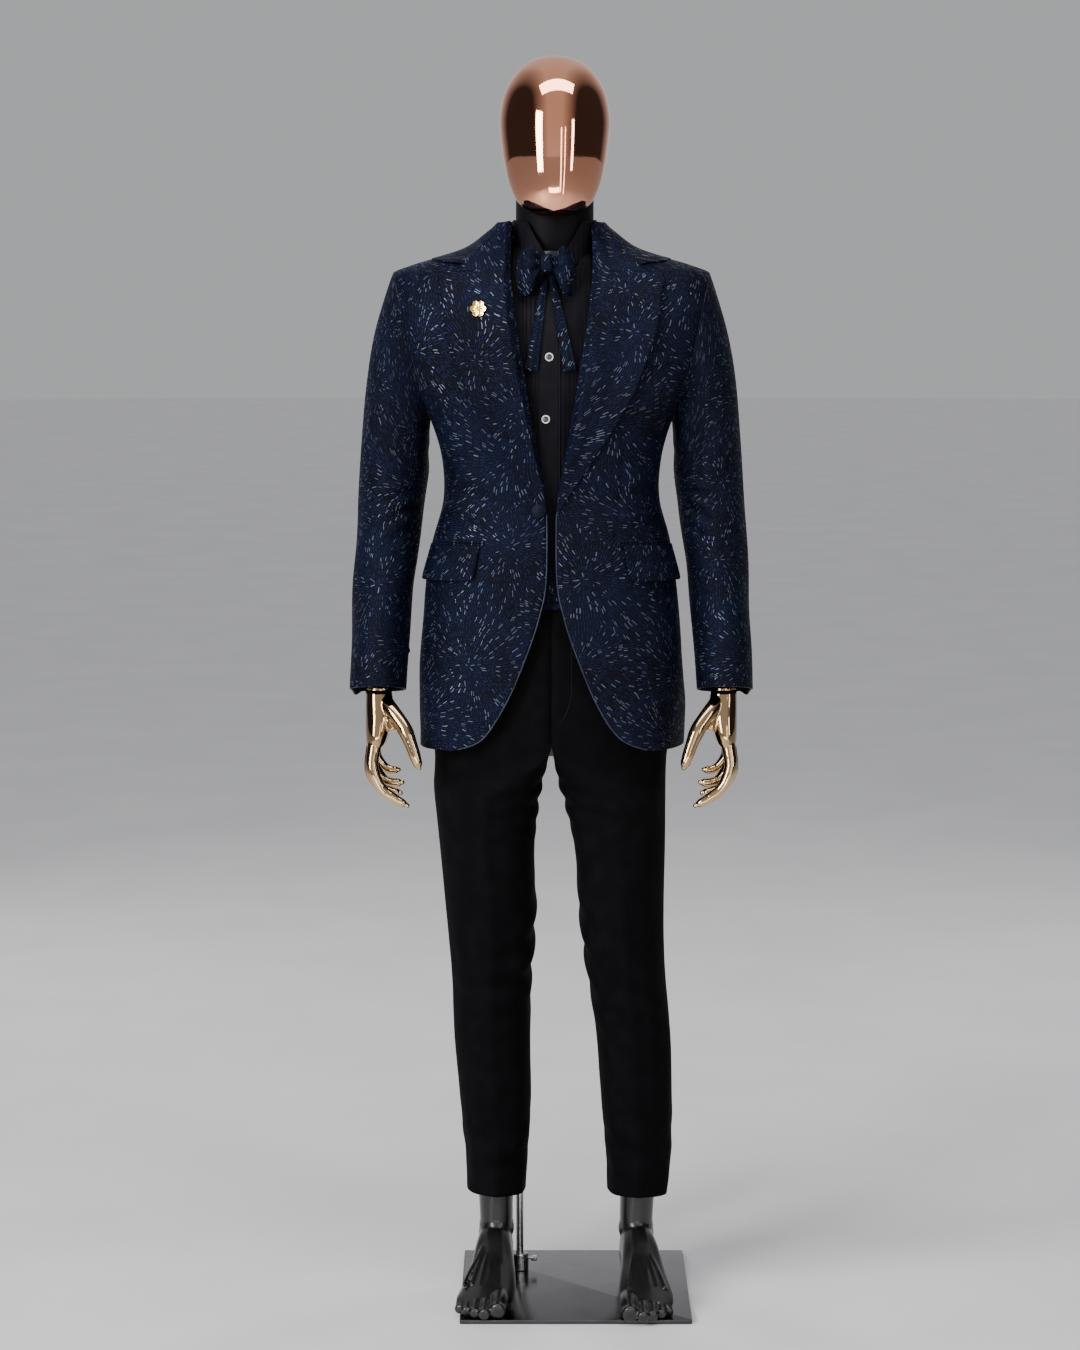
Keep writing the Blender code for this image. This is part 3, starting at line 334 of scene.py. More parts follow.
def curveAt(points, z):
    # a smooth reading of (z, value) pairs
    if z <= points[0][0]:
        return points[0][1]
    return rowAt(points, z)[1] if z < points[-1][0] else points[-1][1]


def ease(value, low, high):
    share = min(1.0, max(0.0, (value - low) / (high - low)))
    return share * share * (3 - 2 * share)


def hump(value, middle, width):
    return math.exp(-((value - middle) / width) ** 2)


def waver(x, y, z, scale, seed=0.0):
    # a smooth random value from -1 to 1
    return noise.noise(Vector((x, y, z)) * scale + Vector((seed, seed * 0.7, -seed)))


def rounded(angle, power):
    c, s = math.cos(angle), math.sin(angle)
    return math.copysign(abs(c) ** (2 / power), c), math.copysign(abs(s) ** (2 / power), s)


def levelPoint(row, angle, grow=0.0, x=figure["middle"]):
    # angle 0 is at the figure's left side, -90 degrees at the front
    z, half, front, back, power = row
    c, s = rounded(angle, power)
    return Vector((x + c * (half + grow), (front + back) / 2 + s * ((back - front) / 2 + grow), z))


def warpedGrid(columns, rows, place, closed=False, offset=(0.0, 0.0)):
    # a grid laid on place(u, v), with its cloth coordinates in metres along its own threads
    bm = bmesh.new()
    bmesh.ops.create_grid(bm, x_segments=columns, y_segments=rows, size=0.5)
    spots = {}
    for v in bm.verts:
        spots[v] = (round((v.co.x + 0.5) * columns), round((v.co.y + 0.5) * rows))
        v.co = place(spots[v][0] / columns, spots[v][1] / rows)
    where = {spot: v.co.copy() for v, spot in spots.items()}
    middle = columns // 2
    across, up = {}, {}
    rise = 0.0
    for j in range(rows + 1):
        run = 0.0
        for i in range(columns + 1):
            run += (where[i, j] - where[i - 1, j]).length if i else 0.0
            across[i, j] = run
        if j:
            rise += (where[middle, j] - where[middle, j - 1]).length
        up[j] = rise
    layer = bm.loops.layers.uv.new("cloth")
    for face in bm.faces:
        for corner in face.loops:
            i, j = spots[corner.vert]
            corner[layer].uv = (across[i, j] - across[middle, j] + offset[0], up[j] + offset[1])
    if closed:
        bmesh.ops.remove_doubles(bm, verts=bm.verts, dist=0.00001)
    return bm


def capEnds(bm):
    bmesh.ops.holes_fill(bm, edges=[e for e in bm.edges if e.is_boundary], sides=0)
    return bm


def faceOut(bm, x=figure["middle"], y=0.0):
    # an open sheet's faces turned away from an upright line
    bmesh.ops.recalc_face_normals(bm, faces=bm.faces)
    facing = 0.0
    for face in bm.faces:
        middle = face.calc_center_median()
        facing += face.normal.dot(Vector((middle.x - x, middle.y - y, 0))) * face.calc_area()
    if facing < 0:
        bmesh.ops.reverse_faces(bm, faces=bm.faces)
    return bm


def makePiece(name, bm, material, body, stands=(), wall=0.0, out=None, sharp=35.0, level=0,
              inner=None):
    # a finished piece: normals, wall, finish, body and the nodes that it stands for
    if out:
        faceOut(bm, *out)
    else:
        bmesh.ops.recalc_face_normals(bm, faces=bm.faces)
    mesh = bpy.data.meshes.new(name)
    bm.to_mesh(mesh)
    bm.free()
    made = bpy.data.objects.new(name, mesh)
    bpy.context.scene.collection.objects.link(made)
    mesh.materials.append(material)
    if inner:
        mesh.materials.append(inner)
    mesh.shade_smooth()
    mesh.set_sharp_from_angle(angle=math.radians(sharp))
    if wall:
        solid = made.modifiers.new("wall", "SOLIDIFY")
        solid.thickness = wall
        solid.offset = -1
        solid.material_offset = 1 if inner else 0
    if level:
        finer = made.modifiers.new("finer", "SUBSURF")
        finer.levels = finer.render_levels = level
    if body:
        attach(made, body)
    if stands:
        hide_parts(*stands)
    return made


def tubeAlong(points, radius, segments=10, closed=False, flat=1.0, up=(0, 0, 1)):
    # a round or flattened tube along points; radius may be a function of the share of the way
    path = [Vector(p) for p in points]
    last = len(path) - 1
    width = radius if callable(radius) else (lambda share: radius)
    frames = []
    for i, spot in enumerate(path):
        before = path[i - 1] if i or closed else path[0]
        after = path[(i + 1) % len(path)] if i < last or closed else path[last]
        along = (after - before).normalized()
        if frames:
            side = (frames[-1][1] - along * frames[-1][1].dot(along)).normalized()
        else:
            side = along.cross(Vector(up))
            side = side.normalized() if side.length > 0.01 else along.orthogonal().normalized()
        frames.append((spot, side, along.cross(side).normalized()))
    if closed:
        frames.append(frames[0])
    count = len(frames) - 1

    def place(u, v):
        spot, side, top = frames[round(v * count)]
        wide = width(v)
        return spot + side * math.cos(u * math.tau) * wide + top * math.sin(u * math.tau) * wide * flat
    bm = warpedGrid(segments, count, place, closed=True)
    return bm if closed else capEnds(bm)


def turnedSolid(profile, place, direction=(0, 0, 1), steps=32):
    # a solid turned from (radius, height) points about a direction
    bm = bmesh.new()
    verts = [bm.verts.new((r, 0, h)) for r, h in profile]
    edges = [bm.edges.new(pair) for pair in zip(verts, verts[1:])]
    bmesh.ops.spin(bm, geom=verts + edges, cent=(0, 0, 0), axis=(0, 0, 1), angle=math.tau, steps=steps,
                   use_merge=True)
    bmesh.ops.remove_doubles(bm, verts=bm.verts, dist=0.00001)
    turn = Vector((0, 0, 1)).rotation_difference(Vector(direction)).to_matrix().to_4x4()
    bmesh.ops.transform(bm, matrix=Matrix.Translation(place) @ turn, verts=bm.verts)
    return bm


def gather(target, *others):
    # other bmeshes joined into the first, with their cloth coordinates
    for other in others:
        mesh = bpy.data.meshes.new("part")
        other.to_mesh(mesh)
        other.free()
        target.from_mesh(mesh)
        bpy.data.meshes.remove(mesh)
    return target


def fused(bm, size, passes=6, factor=0.5):
    # overlapping solids made into one smooth skin
    mesh = bpy.data.meshes.new("rough")
    bm.to_mesh(mesh)
    bm.free()
    made = bpy.data.objects.new("rough", mesh)
    bpy.context.scene.collection.objects.link(made)
    skin = made.modifiers.new("skin", "REMESH")
    skin.mode = "VOXEL"
    skin.voxel_size = size
    soft = made.modifiers.new("soft", "SMOOTH")
    soft.iterations = passes
    soft.factor = factor
    seen = made.evaluated_get(bpy.context.evaluated_depsgraph_get())
    bm = bmesh.new()
    bm.from_mesh(seen.to_mesh())
    seen.to_mesh_clear()
    bpy.data.objects.remove(made)
    bpy.data.meshes.remove(mesh)
    return bm


# the jacket's form
# outlines are height, half width, front, back, squareness
jacketRows = [
    (0.860, 0.2000, -0.130, 0.125, 2.6), (0.880, 0.2005, -0.130, 0.126, 2.6),
    (0.935, 0.2015, -0.129, 0.127, 2.6),
    (1.006, 0.1970, -0.127, 0.124, 2.6), (1.119, 0.1870, -0.121, 0.114, 2.6),
    (1.171, 0.1780, -0.118, 0.107, 2.6),
    (1.230, 0.1620, -0.117, 0.101, 2.6), (1.290, 0.1640, -0.123, 0.103, 2.7),
    (1.345, 0.1790, -0.130, 0.111, 2.9),
    (1.400, 0.2080, -0.133, 0.118, 3.2), (1.480, 0.2330, -0.126, 0.123, 3.4),
    (1.535, 0.2400, -0.109, 0.118, 3.4),
    (1.564, 0.2400, -0.094, 0.109, 3.0), (1.580, 0.2050, -0.084, 0.101, 2.7),
    (1.605, 0.1230, -0.071, 0.089, 2.3),
    (1.643, 0.0730, -0.061, 0.078, 2.1),
]
frontEdge = [
    (0.860, 0.150), (0.880, 0.104), (0.935, 0.067), (1.006, 0.037), (1.064, 0.018), (1.119, 0.008),
    (1.230, 0.008),
    (1.290, 0.018), (1.345, 0.028), (1.400, 0.037), (1.480, 0.050), (1.535, 0.057), (1.580, 0.061),
    (1.643, 0.060),
]
lapelEdge = [
    (1.218, 0.010), (1.230, 0.017), (1.290, 0.055), (1.345, 0.089), (1.400, 0.118), (1.480, 0.146),
    (1.535, 0.155),
    (1.566, 0.158), (1.573, 0.131), (1.585, 0.122), (1.602, 0.104), (1.620, 0.084), (1.641, 0.066),
]
jacketFit = {"edgeLift": 0.0055, "seam": math.radians(-24), "columns": 90, "rows": 210,
             "lapelLift": 0.0046, "roll": 0.0040,
             "armpit": 1.343, "dartX": 0.098}


def jacketPush(x, y, z):
    # how far the cloth stands off its plain form, with its darts, pulls and folds; x from the figure's
    # middle
    front = ease(-y, 0.02, 0.07)
    back = ease(y, 0.02, 0.07)
    side = abs(x)
    push = 0.0016 * waver(x, y, z, 9.0, 3.0) + 0.0007 * waver(x, y, z, 26.0, 8.0)
    dart = (hump(side, jacketFit["dartX"] + 0.10 * (z - 1.2), 0.004) * ease(z, 1.10, 1.16)
            * ease(-z, -1.34, -1.26))
    push -= 0.0016 * dart * front
    push += (0.0022 * front * hump(side, 0.135, 0.05) * math.sin((z - 0.25 * side) * 118)
             * hump(z, 1.225, 0.055))
    push += 0.0016 * front * math.sin(z * 90 + side * 60) * hump(z, 1.30, 0.05) * hump(side, 0.15, 0.03)
    push += 0.0026 * back * math.sin(z * 72 + 2.0 * side) * hump(z, 1.25, 0.07) * hump(side, 0.08, 0.08)
    push += 0.0022 * math.sin(math.atan2(y, x) * 9 + 1.3) * ease(-z, -1.0, -0.88)
    push -= 0.0020 * back * hump(x, 0.0, 0.0022)
    push += 0.0030 * back * (ease(x, -0.001, 0.001) - 0.5) * ease(-z, -1.07, -1.05)
    return push


def onJacket(x, z, grow=0.0):
    # a point over the front at x from the figure's middle
    row = rowAt(jacketRows, z)
    angle = -frontAngle(row, x)
    spot = levelPoint(row, angle, grow)
    push = jacketPush(spot.x - figure["middle"], spot.y, z)
    return levelPoint(row, angle, grow + push)


def frontAngle(row, x):
    half, power = row[1], row[4]
    return math.acos(min(1.0, max(-1.0, math.copysign((abs(x) / half) ** (power / 2), x))))


def shoulderPlane(side, away=0.0):
    tilt = figure["shoulderTilt"]
    normal = Vector((side * math.cos(tilt), 0, -math.sin(tilt)))
    point = Vector((figure["middle"] + side * figure["shoulderX"], 0, figure["shoulderZ"]))
    return point + normal * away, normal


def trimAtShoulder(bm, side, gap, floor=jacketFit["armpit"]):
    # takes away what lies past the armhole, above the armpit
    everything = bm.verts[:] + bm.edges[:] + bm.faces[:]
    bmesh.ops.bisect_plane(bm, geom=everything, dist=0.00001, plane_co=(0, 0, floor), plane_no=(0, 0, 1))
    faces = [f for f in bm.faces if f.calc_center_median().z > floor]
    edges = {e for f in faces for e in f.edges}
    verts = {v for f in faces for v in f.verts}
    point, normal = shoulderPlane(side, -gap)
    bmesh.ops.bisect_plane(bm, geom=list(verts) + list(edges) + faces, dist=0.00001, plane_co=point,
                           plane_no=normal, clear_outer=True)


def onForm(start, end, side, lift, bottom=0.0, top=1.0):
    # a placing function on the jacket between two angles, each given by the row
    last = len(jacketRows) - 1
    known = {}

    def place(u, v):
        if v not in known:
            row = smoothRow(jacketRows, (bottom + (top - bottom) * v) * last)
            known[v] = row, start(row), end(row)
        row, a, b = known[v]
        angle = -(a + (b - a) * u)
        off = lift(u, v) if callable(lift) else lift
        spot = levelPoint(row, angle, off, 0.0)
        spot = levelPoint(row, angle, off + jacketPush(side * spot.x, spot.y, row[0]), 0.0)
        return Vector((figure["middle"] + side * spot.x, spot.y, spot.z))
    return place


def buildJacketBody():
    seam, lift = jacketFit["seam"], jacketFit["lapelLift"]
    lowest = stationAt(jacketRows, lapelEdge[0][0]) / (len(jacketRows) - 1)
    highest = stationAt(jacketRows, lapelEdge[-1][0]) / (len(jacketRows) - 1)

    def edgeAngle(row):
        return frontAngle(row, curveAt(frontEdge, row[0]))

    def lapelAngle(row):
        return frontAngle(row, max(curveAt(lapelEdge, row[0]), curveAt(frontEdge, row[0]) + 0.002))

    def lapelOff(u, v):
        # flat at the outer edge, full at the roll, and turned under round the front edge
        roll = lift + jacketFit["roll"] * ease(u, 0.45, 0.95) * ease(v, 0.0, 0.2)
        roll += jacketFit["edgeLift"] * (1 - ease(u, 0.0, 0.6)) * ease(v, 0.05, 0.4)
        turn = ease(u, 0.93, 1.0)
        return roll * (1 - turn) - 0.0012 * turn
    for name, side, offset in (("right", -1, (0.31, 0.02)), ("left", 1, (2.35, 0.40))):
        spread = onForm(lambda r: seam + 0.0012 / r[1], edgeAngle, side, 0.0)
        front = warpedGrid(jacketFit["columns"], jacketFit["rows"], spread, offset=offset)
        trimAtShoulder(front, side, 0.0005)
        makePiece("jacketFront_" + name, front, brocadeCloth, "torso",
                  ["jacket_front_" + name],
                  cloth["wall"], (figure["middle"], 0.0), inner=liningCloth)
        spread = onForm(lapelAngle, edgeAngle, side, lapelOff, lowest, highest)
        lapel = warpedGrid(48, 230, lambda u, v: spread(1 - (1 - u) ** 1.6, v),
                           offset=(offset[0] + 1.13, 0.7))
        makePiece("jacketLapel_" + name, lapel, brocadeCloth, "torso", ["lapel_" + name],
                  cloth["wall"] * 0.8, (figure["middle"], 0.0))
        # the corded edge from the button down
        heights = [1.215 - 0.352 * i / 90 for i in range(91)]
        edge = [onJacket(side * curveAt(frontEdge, z), z, -0.0004) for z in heights]
        makePiece("jacketEdge_" + name, tubeAlong(edge, 0.0010, 8), edgeCord, "torso")
    spread = onForm(lambda r: seam, lambda r: -math.pi - seam, 1, 0.0)
    back = warpedGrid(150, jacketFit["rows"], spread, offset=(5.2, 0.1))
    trimAtShoulder(back, -1, 0.0005)
    trimAtShoulder(back, 1, 0.0005)
    makePiece("jacketBack", back, brocadeCloth, "torso", ["jacket_back"], cloth["wall"],
              (figure["middle"], 0.0), inner=liningCloth)
    print("jacket body built")


collarFit = {"crest": 1.6400, "foot": 1.618, "edgeFront": 1.582, "edgeBack": 1.594, "lift": 0.0062,
             "neckX": 0.0585, "cornerX": 0.1210, "inside": -0.0050}


def buildCollar():
    # stands up round the neck, rolls over at its crest and falls to its edge
    topRow = smoothRow(jacketRows, len(jacketRows) - 1)

    def section(v):
        # 0 on the fall, and 0 to 1 down the inside
        return 0.0 if v > 0.30 else 1 - v / 0.30

    def place(u, v):
        inside = section(v)
        backness = math.sin(math.pi * u) ** 0.7
        edge = collarFit["edgeFront"] + (collarFit["edgeBack"] - collarFit["edgeFront"]) * backness
        down = max(0.0, (v - 0.30) / 0.70)
        z = collarFit["crest"] + (edge - collarFit["crest"]) * down
        if inside:
            z = collarFit["crest"] + (collarFit["foot"] - collarFit["crest"]) * inside
            row = (z, *topRow[1:])
        else:
            row = (z, *rowAt(jacketRows, min(z, 1.6425))[1:])
        frontX = collarFit["neckX"] + (collarFit["cornerX"] - collarFit["neckX"]) * down
        start = frontAngle(row, frontX)
        angle = -start + (math.pi + 2 * start) * u
        roll = 0.0030 * hump(v, 0.40, 0.13) * backness
        lift = collarFit["lift"] * (0.4 + 0.6 * ease(v, 0.30, 0.55))
        off = lift + roll if not inside else 0.003 + (collarFit["inside"] - 0.003) * ease(inside, 0, 0.5)
        crest = (0.0040 * backness + 0.0045 * (1 - ease(backness, 0.0, 0.45))) * hump(v, 0.30, 0.06)
        spot = levelPoint(row, angle, off + 0.0006 * waver(u * 3, v, 0, 3.0, 5.0))
        return spot + Vector((0, 0, crest))
    collar = warpedGrid(200, 56, place, offset=(8.0, 0.0))
    makePiece("jacketCollar", collar, brocadeCloth, "torso", ["jacket_collar"],
              cloth["wall"], (figure["middle"], 0.0))


# sleeve rings: outer x and z, inner x and z, middle in y, half depth, rake of the ring's back
sleeveRows = [
    (0.2525, 1.520, 0.1830, 1.331, 0.002, 0.085, 0.00), (0.2680, 1.462, 0.1840, 1.308, 0.004, 0.083, 0.00),
    (0.2790, 1.390, 0.1850, 1.272, 0.006, 0.080, 0.00), (0.2880, 1.283, 0.1885, 1.240, 0.008, 0.076, 0.00),
    (0.2945, 1.175, 0.1990, 1.165, 0.006, 0.071, -0.05),
    (0.3000, 1.060, 0.2110, 1.060, -0.012, 0.066, -0.15),
    (0.3040, 0.945, 0.2190, 0.945, -0.040, 0.062, -0.20),
]
sleeveFit = {"headHalf": 0.112, "headDepth": 0.086, "rope": 0.0035, "proud": 0.0004, "blend": 0.034,
             "columns": 112, "rows": 190, "ventTurn": math.radians(38)}


def insideForm(x, y, z):
    # below 1 inside the jacket's form, x from the figure's middle
    if z > jacketRows[-1][0]:
        return 9.0
    _, half, front, back, power = rowAt(jacketRows, z)
    return (abs(x) / half) ** power + (abs(y - (front + back) / 2) / ((back - front) / 2)) ** power


def armholeCurve(count):
    # where the armhole's plane meets the form: distance from the arm's line for each turn
    tilt = figure["shoulderTilt"]
    up = Vector((math.sin(tilt), 0, math.cos(tilt)))
    middle = Vector((figure["shoulderX"], 0, figure["shoulderZ"]))
    reach = []
    for i in range(count):
        angle = math.tau * i / count
        way = (up * math.cos(angle) * sleeveFit["headHalf"]
               + Vector((0, math.sin(angle) * sleeveFit["headDepth"], 0)))
        low, high = 0.3, 1.6
        for _ in range(18):
            share = (low + high) / 2
            spot = middle + way * share
            if insideForm(*spot) < 1:
                low = share
            else:
                high = share
        reach.append(min(low, 1.04 if math.cos(angle) < -0.6 else 1.35))
    even = reach[:]
    for _ in range(3):
        even = [(even[i - 1] + 2 * even[i] + even[(i + 1) % count]) / 4 for i in range(count)]
    return [middle + (up * math.cos(math.tau * i / count) * sleeveFit["headHalf"]
                      + Vector((0, math.sin(math.tau * i / count) * sleeveFit["headDepth"], 0))) * even[i]
            for i in range(count)]


def buildSleeves():
    tilt = figure["shoulderTilt"]
    up = Vector((math.sin(tilt), 0, math.cos(tilt)))
    head = Vector((figure["shoulderX"], 0, figure["shoulderZ"]))
    top, foot = head + up * sleeveFit["headHalf"], head - up * sleeveFit["headHalf"]
    rings = [(top.x, top.z, foot.x, foot.z, 0.0, sleeveFit["headDepth"], 0.0)] + sleeveRows
    columns = sleeveFit["columns"]
    hole = armholeCurve(columns)
    normal = Vector((math.cos(tilt), 0, -math.sin(tilt)))

    def shape(u, v, wrinkle):
        # u 0 is the inner seam; the turn is counted from the outer side
        turn = math.tau * u + math.pi
        t = (v ** 1.15) * (len(rings) - 1)
        ox, oz, ix, iz, y, depth, rake = smoothRow(rings, t)
        outer, inner = Vector((ox, 0, oz)), Vector((ix, 0, iz))
        c, s = math.cos(turn), math.sin(turn)
        half = (outer - inner) / 2
        rope = sleeveFit["rope"] * hump(t, 0.42, 0.35) * ease(c, -0.2, 0.8)
        push = rope + 0.0012 * waver(ox * 2, turn * 0.06, oz, 11.0, wrinkle)
        elbow = hump(t, 4.4, 0.75) * ease(-s, 0.0, 0.7) * ease(-c, -0.6, 0.5)
        push += 0.0022 * elbow * math.sin((oz + 0.05 * c) * 150)
        push += 0.0016 * hump(t, 2.2, 0.8) * math.sin(oz * 60 + turn * 2) * ease(-c, -0.3, 0.6)
        push += 0.0015 * hump(t, 5.6, 0.9) * math.sin(turn * 3 + oz * 34 + wrinkle)
        vent = ease(t, 6.2, 6.25) * ease(math.atan2(s, c), sleeveFit["ventTurn"] - 0.02,
                                         sleeveFit["ventTurn"])
        push -= 0.0018 * vent * ease(-math.atan2(s, c), -2.6, -1.2)
        across = s * (depth + push)
        spot = (outer + inner) / 2 + (half + half.normalized() * push) * c
        spot = Vector((spot.x, y + across, spot.z + rake * across))
        if t > 6.0:
            spot.z -= 0.0065 * (t - 6.0) * hump(math.atan2(s, c), sleeveFit["ventTurn"] - 0.10, 0.16)
        start = hole[round(u * columns + columns / 2) % columns]
        start = start + normal * 0.0002 + (start - head).normalized() * sleeveFit["proud"]
        return start.lerp(spot, ease(t, 0.0, 1.0)) if t < 1.0 else spot
    for name, side, wrinkle in (("right", -1, 2.0), ("left", 1, 7.0)):
        def place(u, v, side=side, wrinkle=wrinkle):
            spot = shape(u, v, wrinkle)
            return Vector((figure["middle"] + side * spot.x, spot.y, spot.z))
        sleeve = warpedGrid(columns, sleeveFit["rows"], place, closed=True, offset=(11.3 + side, 0.2))
        made = makePiece("sleeve_" + name, sleeve, brocadeCloth, None, [name + "_sleeve"],
                         inner=liningCloth)
        wallInside(made, cloth["wall"])
        point, away = shoulderPlane(side)
        point + away * sleeveFit["blend"]
        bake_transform(made)
    print("sleeves built")


def wallInside(made, wall):
    # the wall as mesh, for a piece that bends
    bm = bmesh.new()
    bm.from_mesh(made.data)
    bmesh.ops.recalc_face_normals(bm, faces=bm.faces)
    middle = sum((v.co for v in bm.verts), Vector()) / len(bm.verts)
    facing = sum((f.calc_center_median() - middle).dot(f.normal) * f.calc_area() for f in bm.faces)
    if facing < 0:
        bmesh.ops.reverse_faces(bm, faces=bm.faces)
    outside = set(bm.faces)
    bmesh.ops.solidify(bm, geom=bm.faces[:], thickness=wall)
    for face in bm.faces:
        if face not in outside:
            face.material_index = 1
    bm.normal_update()
    bm.to_mesh(made.data)
    bm.free()
    made.data.set_sharp_from_angle(angle=math.radians(35))


flapFit = {"corners": ((0.113, 1.116), (0.184, 1.113), (0.176, 1.166), (0.104, 1.168)), "lift": 0.0042,
           "flare": 0.0070, "round": 0.007}


def patchOnForm(corners, side, lift, columns, rows, squeeze=None):
    # a patch between four corners given as distance from the middle and height
    turns = [(frontAngle(rowAt(jacketRows, z), x), z) for x, z in corners]

    def place(u, v):
        if squeeze:
            u, v = squeeze(u, v)
        a, b, c, d = turns
        low = [p + (q - p) * u for p, q in zip(a, b)]
        high = [p + (q - p) * u for p, q in zip(d, c)]
        angle, z = (p + (q - p) * v for p, q in zip(low, high))
        row = rowAt(jacketRows, z)
        off = lift(u, v)
        spot = levelPoint(row, -angle, off, 0.0)
        spot = levelPoint(row, -angle, off + jacketPush(side * spot.x, spot.y, z), 0.0)
        return Vector((figure["middle"] + side * spot.x, spot.y, spot.z))
    return warpedGrid(columns, rows, place, offset=(15.0 + side, 0.0))


def buildTrims():
    lift = flapFit["lift"]

    def flapOff(u, v):
        # lies on the jacket at the top and stands off at its outer bottom corner
        return lift + flapFit["flare"] * (1 - v) ** 1.5 * (0.35 + 0.65 * u)

    def flapCorners(u, v):
        # bottom corners rounded off
        near = min(u, 1 - u) * 0.075
        short = max(0.0, flapFit["round"] - near)
        rise = flapFit["round"] - math.sqrt(max(0.0, flapFit["round"] ** 2 - short ** 2))
        return u, v + (1 - v) * rise / 0.052
    for name, side in (("right", -1), ("left", 1)):
        flap = patchOnForm(flapFit["corners"], side, flapOff, 40, 26, flapCorners)
        makePiece("pocketFlap_" + name, flap, brocadeCloth, "torso",
                  ["pocket_flap_" + name],
                  cloth["wall"], (figure["middle"], 0.0), inner=liningCloth)
        (x0, z0), (x1, z1) = flapFit["corners"][3], flapFit["corners"][2]
        for number, above in enumerate((0.0015, 0.0055)):
            line = [onJacket(side * (x0 - 0.004 + (x1 - x0) * i / 24), z0 + (z1 - z0) * i / 24 + above,
                             0.0012)
                    for i in range(25)]
            makePiece(f"pocketJet_{name}_{number}", tubeAlong(line, 0.0019, 8), brocadeCloth, "torso")
    welt = patchOnForm(((0.128, 1.432), (0.176, 1.438), (0.176, 1.455), (0.128, 1.449)), 1,
                       lambda u, v: 0.0028, 24, 10)
    makePiece("breastWelt", welt, brocadeCloth, "torso", ["breast_welt"], 0.0018,
              (figure["middle"], 0.0))
    # covered button with its rim
    spot = onJacket(-0.019, 1.220, 0.0010)
    profile = [(0, 0), (0.0085, 0), (0.0098, 0.0010), (0.0102, 0.0026), (0.0094, 0.0040), (0.0078, 0.0046),
               (0.0060, 0.0052), (0.0030, 0.0058), (0, 0.0060)]
    makePiece("jacketButton", turnedSolid(profile, spot, (0, -1, 0.04)), brocadePlain, "torso",
              ["jacket_button"])
    buildFlower()
    print("jacket trims built")


flower = {"x": -0.104, "z": 1.516, "petals": 6, "reach": 0.0066, "petal": 0.0050}


def buildFlower():
    # a small plated flower: a stem disc, a ring of cupped petals and a beaded middle
    spot = onJacket(flower["x"], flower["z"], jacketFit["lapelLift"] + 0.0012)
    out = Vector((-0.22, -0.95, 0.16)).normalized()
    side = out.cross(Vector((0, 0, 1))).normalized()
    top = side.cross(out)
    turn = Matrix((side, top, out)).transposed().to_4x4()
    bm = turnedSolid([(0, 0), (0.006, 0), (0.0065, 0.0008), (0.003, 0.0016), (0, 0.0018)], (0, 0, 0))
    for i in range(flower["petals"]):
        angle = math.tau * i / flower["petals"]
        petal = bmesh.new()
        bmesh.ops.create_uvsphere(petal, u_segments=18, v_segments=10, radius=flower["petal"])
        for v in petal.verts:
            r = v.co.xy.length / flower["petal"]
            v.co.z = v.co.z * 0.30 + 0.0018 * r * r
            v.co.x *= 1.15
        move = Matrix.Rotation(angle, 4, "Z") @ Matrix.Translation((flower["reach"], 0, 0.0022))
        bmesh.ops.transform(petal, matrix=move, verts=petal.verts)
        gather(bm, petal)
    for i in range(7):
        bead = bmesh.new()
        bmesh.ops.create_uvsphere(bead, u_segments=12, v_segments=8, radius=0.0015)
        angle = math.tau * i / 6
        far = 0.0023 if i < 6 else 0.0
        bmesh.ops.translate(bead, vec=(far * math.cos(angle), far * math.sin(angle), 0.0044),
                            verts=bead.verts)
        gather(bm, bead)
    bmesh.ops.transform(bm, matrix=Matrix.Translation(spot) @ turn, verts=bm.verts)
    makePiece("lapelFlower", bm, pinGold, "torso", ["lapel_pin"])


# the shirt, the bow and the waist
chestRows = [
    (1.1085, 0.1385, -0.0925, 0.0815, 2.3), (1.200, 0.141, -0.096, 0.078, 2.3),
    (1.300, 0.150, -0.107, 0.090, 2.4),
    (1.380, 0.170, -0.114, 0.100, 2.6), (1.415, 0.207, -0.112, 0.104, 2.8),
    (1.455, 0.222, -0.107, 0.105, 2.8),
    (1.500, 0.231, -0.097, 0.103, 2.8), (1.532, 0.229, -0.084, 0.098, 2.7),
    (1.560, 0.170, -0.072, 0.087, 2.4),
    (1.600, 0.066, -0.061, 0.071, 2.0), (1.622, 0.0570, -0.0535, 0.0615, 2.0),
]
shirtFit = {"grow": 0.0042, "placketHalf": 0.0175, "placketRise": 0.0016, "tuck": 0.0062,
            "tuckRise": 0.0015,
            "tucks": 7, "middle": -0.0035}


def shirtRelief(x, front):
    # placket, then upright tucks that overlap outwards, x from the shirt's middle
    side = abs(x)
    rise = shirtFit["placketRise"] * ease(-side, -shirtFit["placketHalf"], -shirtFit["placketHalf"]
                                          + 0.0012)
    rise -= 0.0007 * hump(side, shirtFit["placketHalf"] - 0.0035, 0.0007)
    start = shirtFit["placketHalf"] + 0.003
    if start < side < start + shirtFit["tuck"] * shirtFit["tucks"]:
        share = (side - start) / shirtFit["tuck"] % 1.0
        rise += shirtFit["tuckRise"] * (1 - share) * ease(share, 0.0, 0.10)
    return rise * front


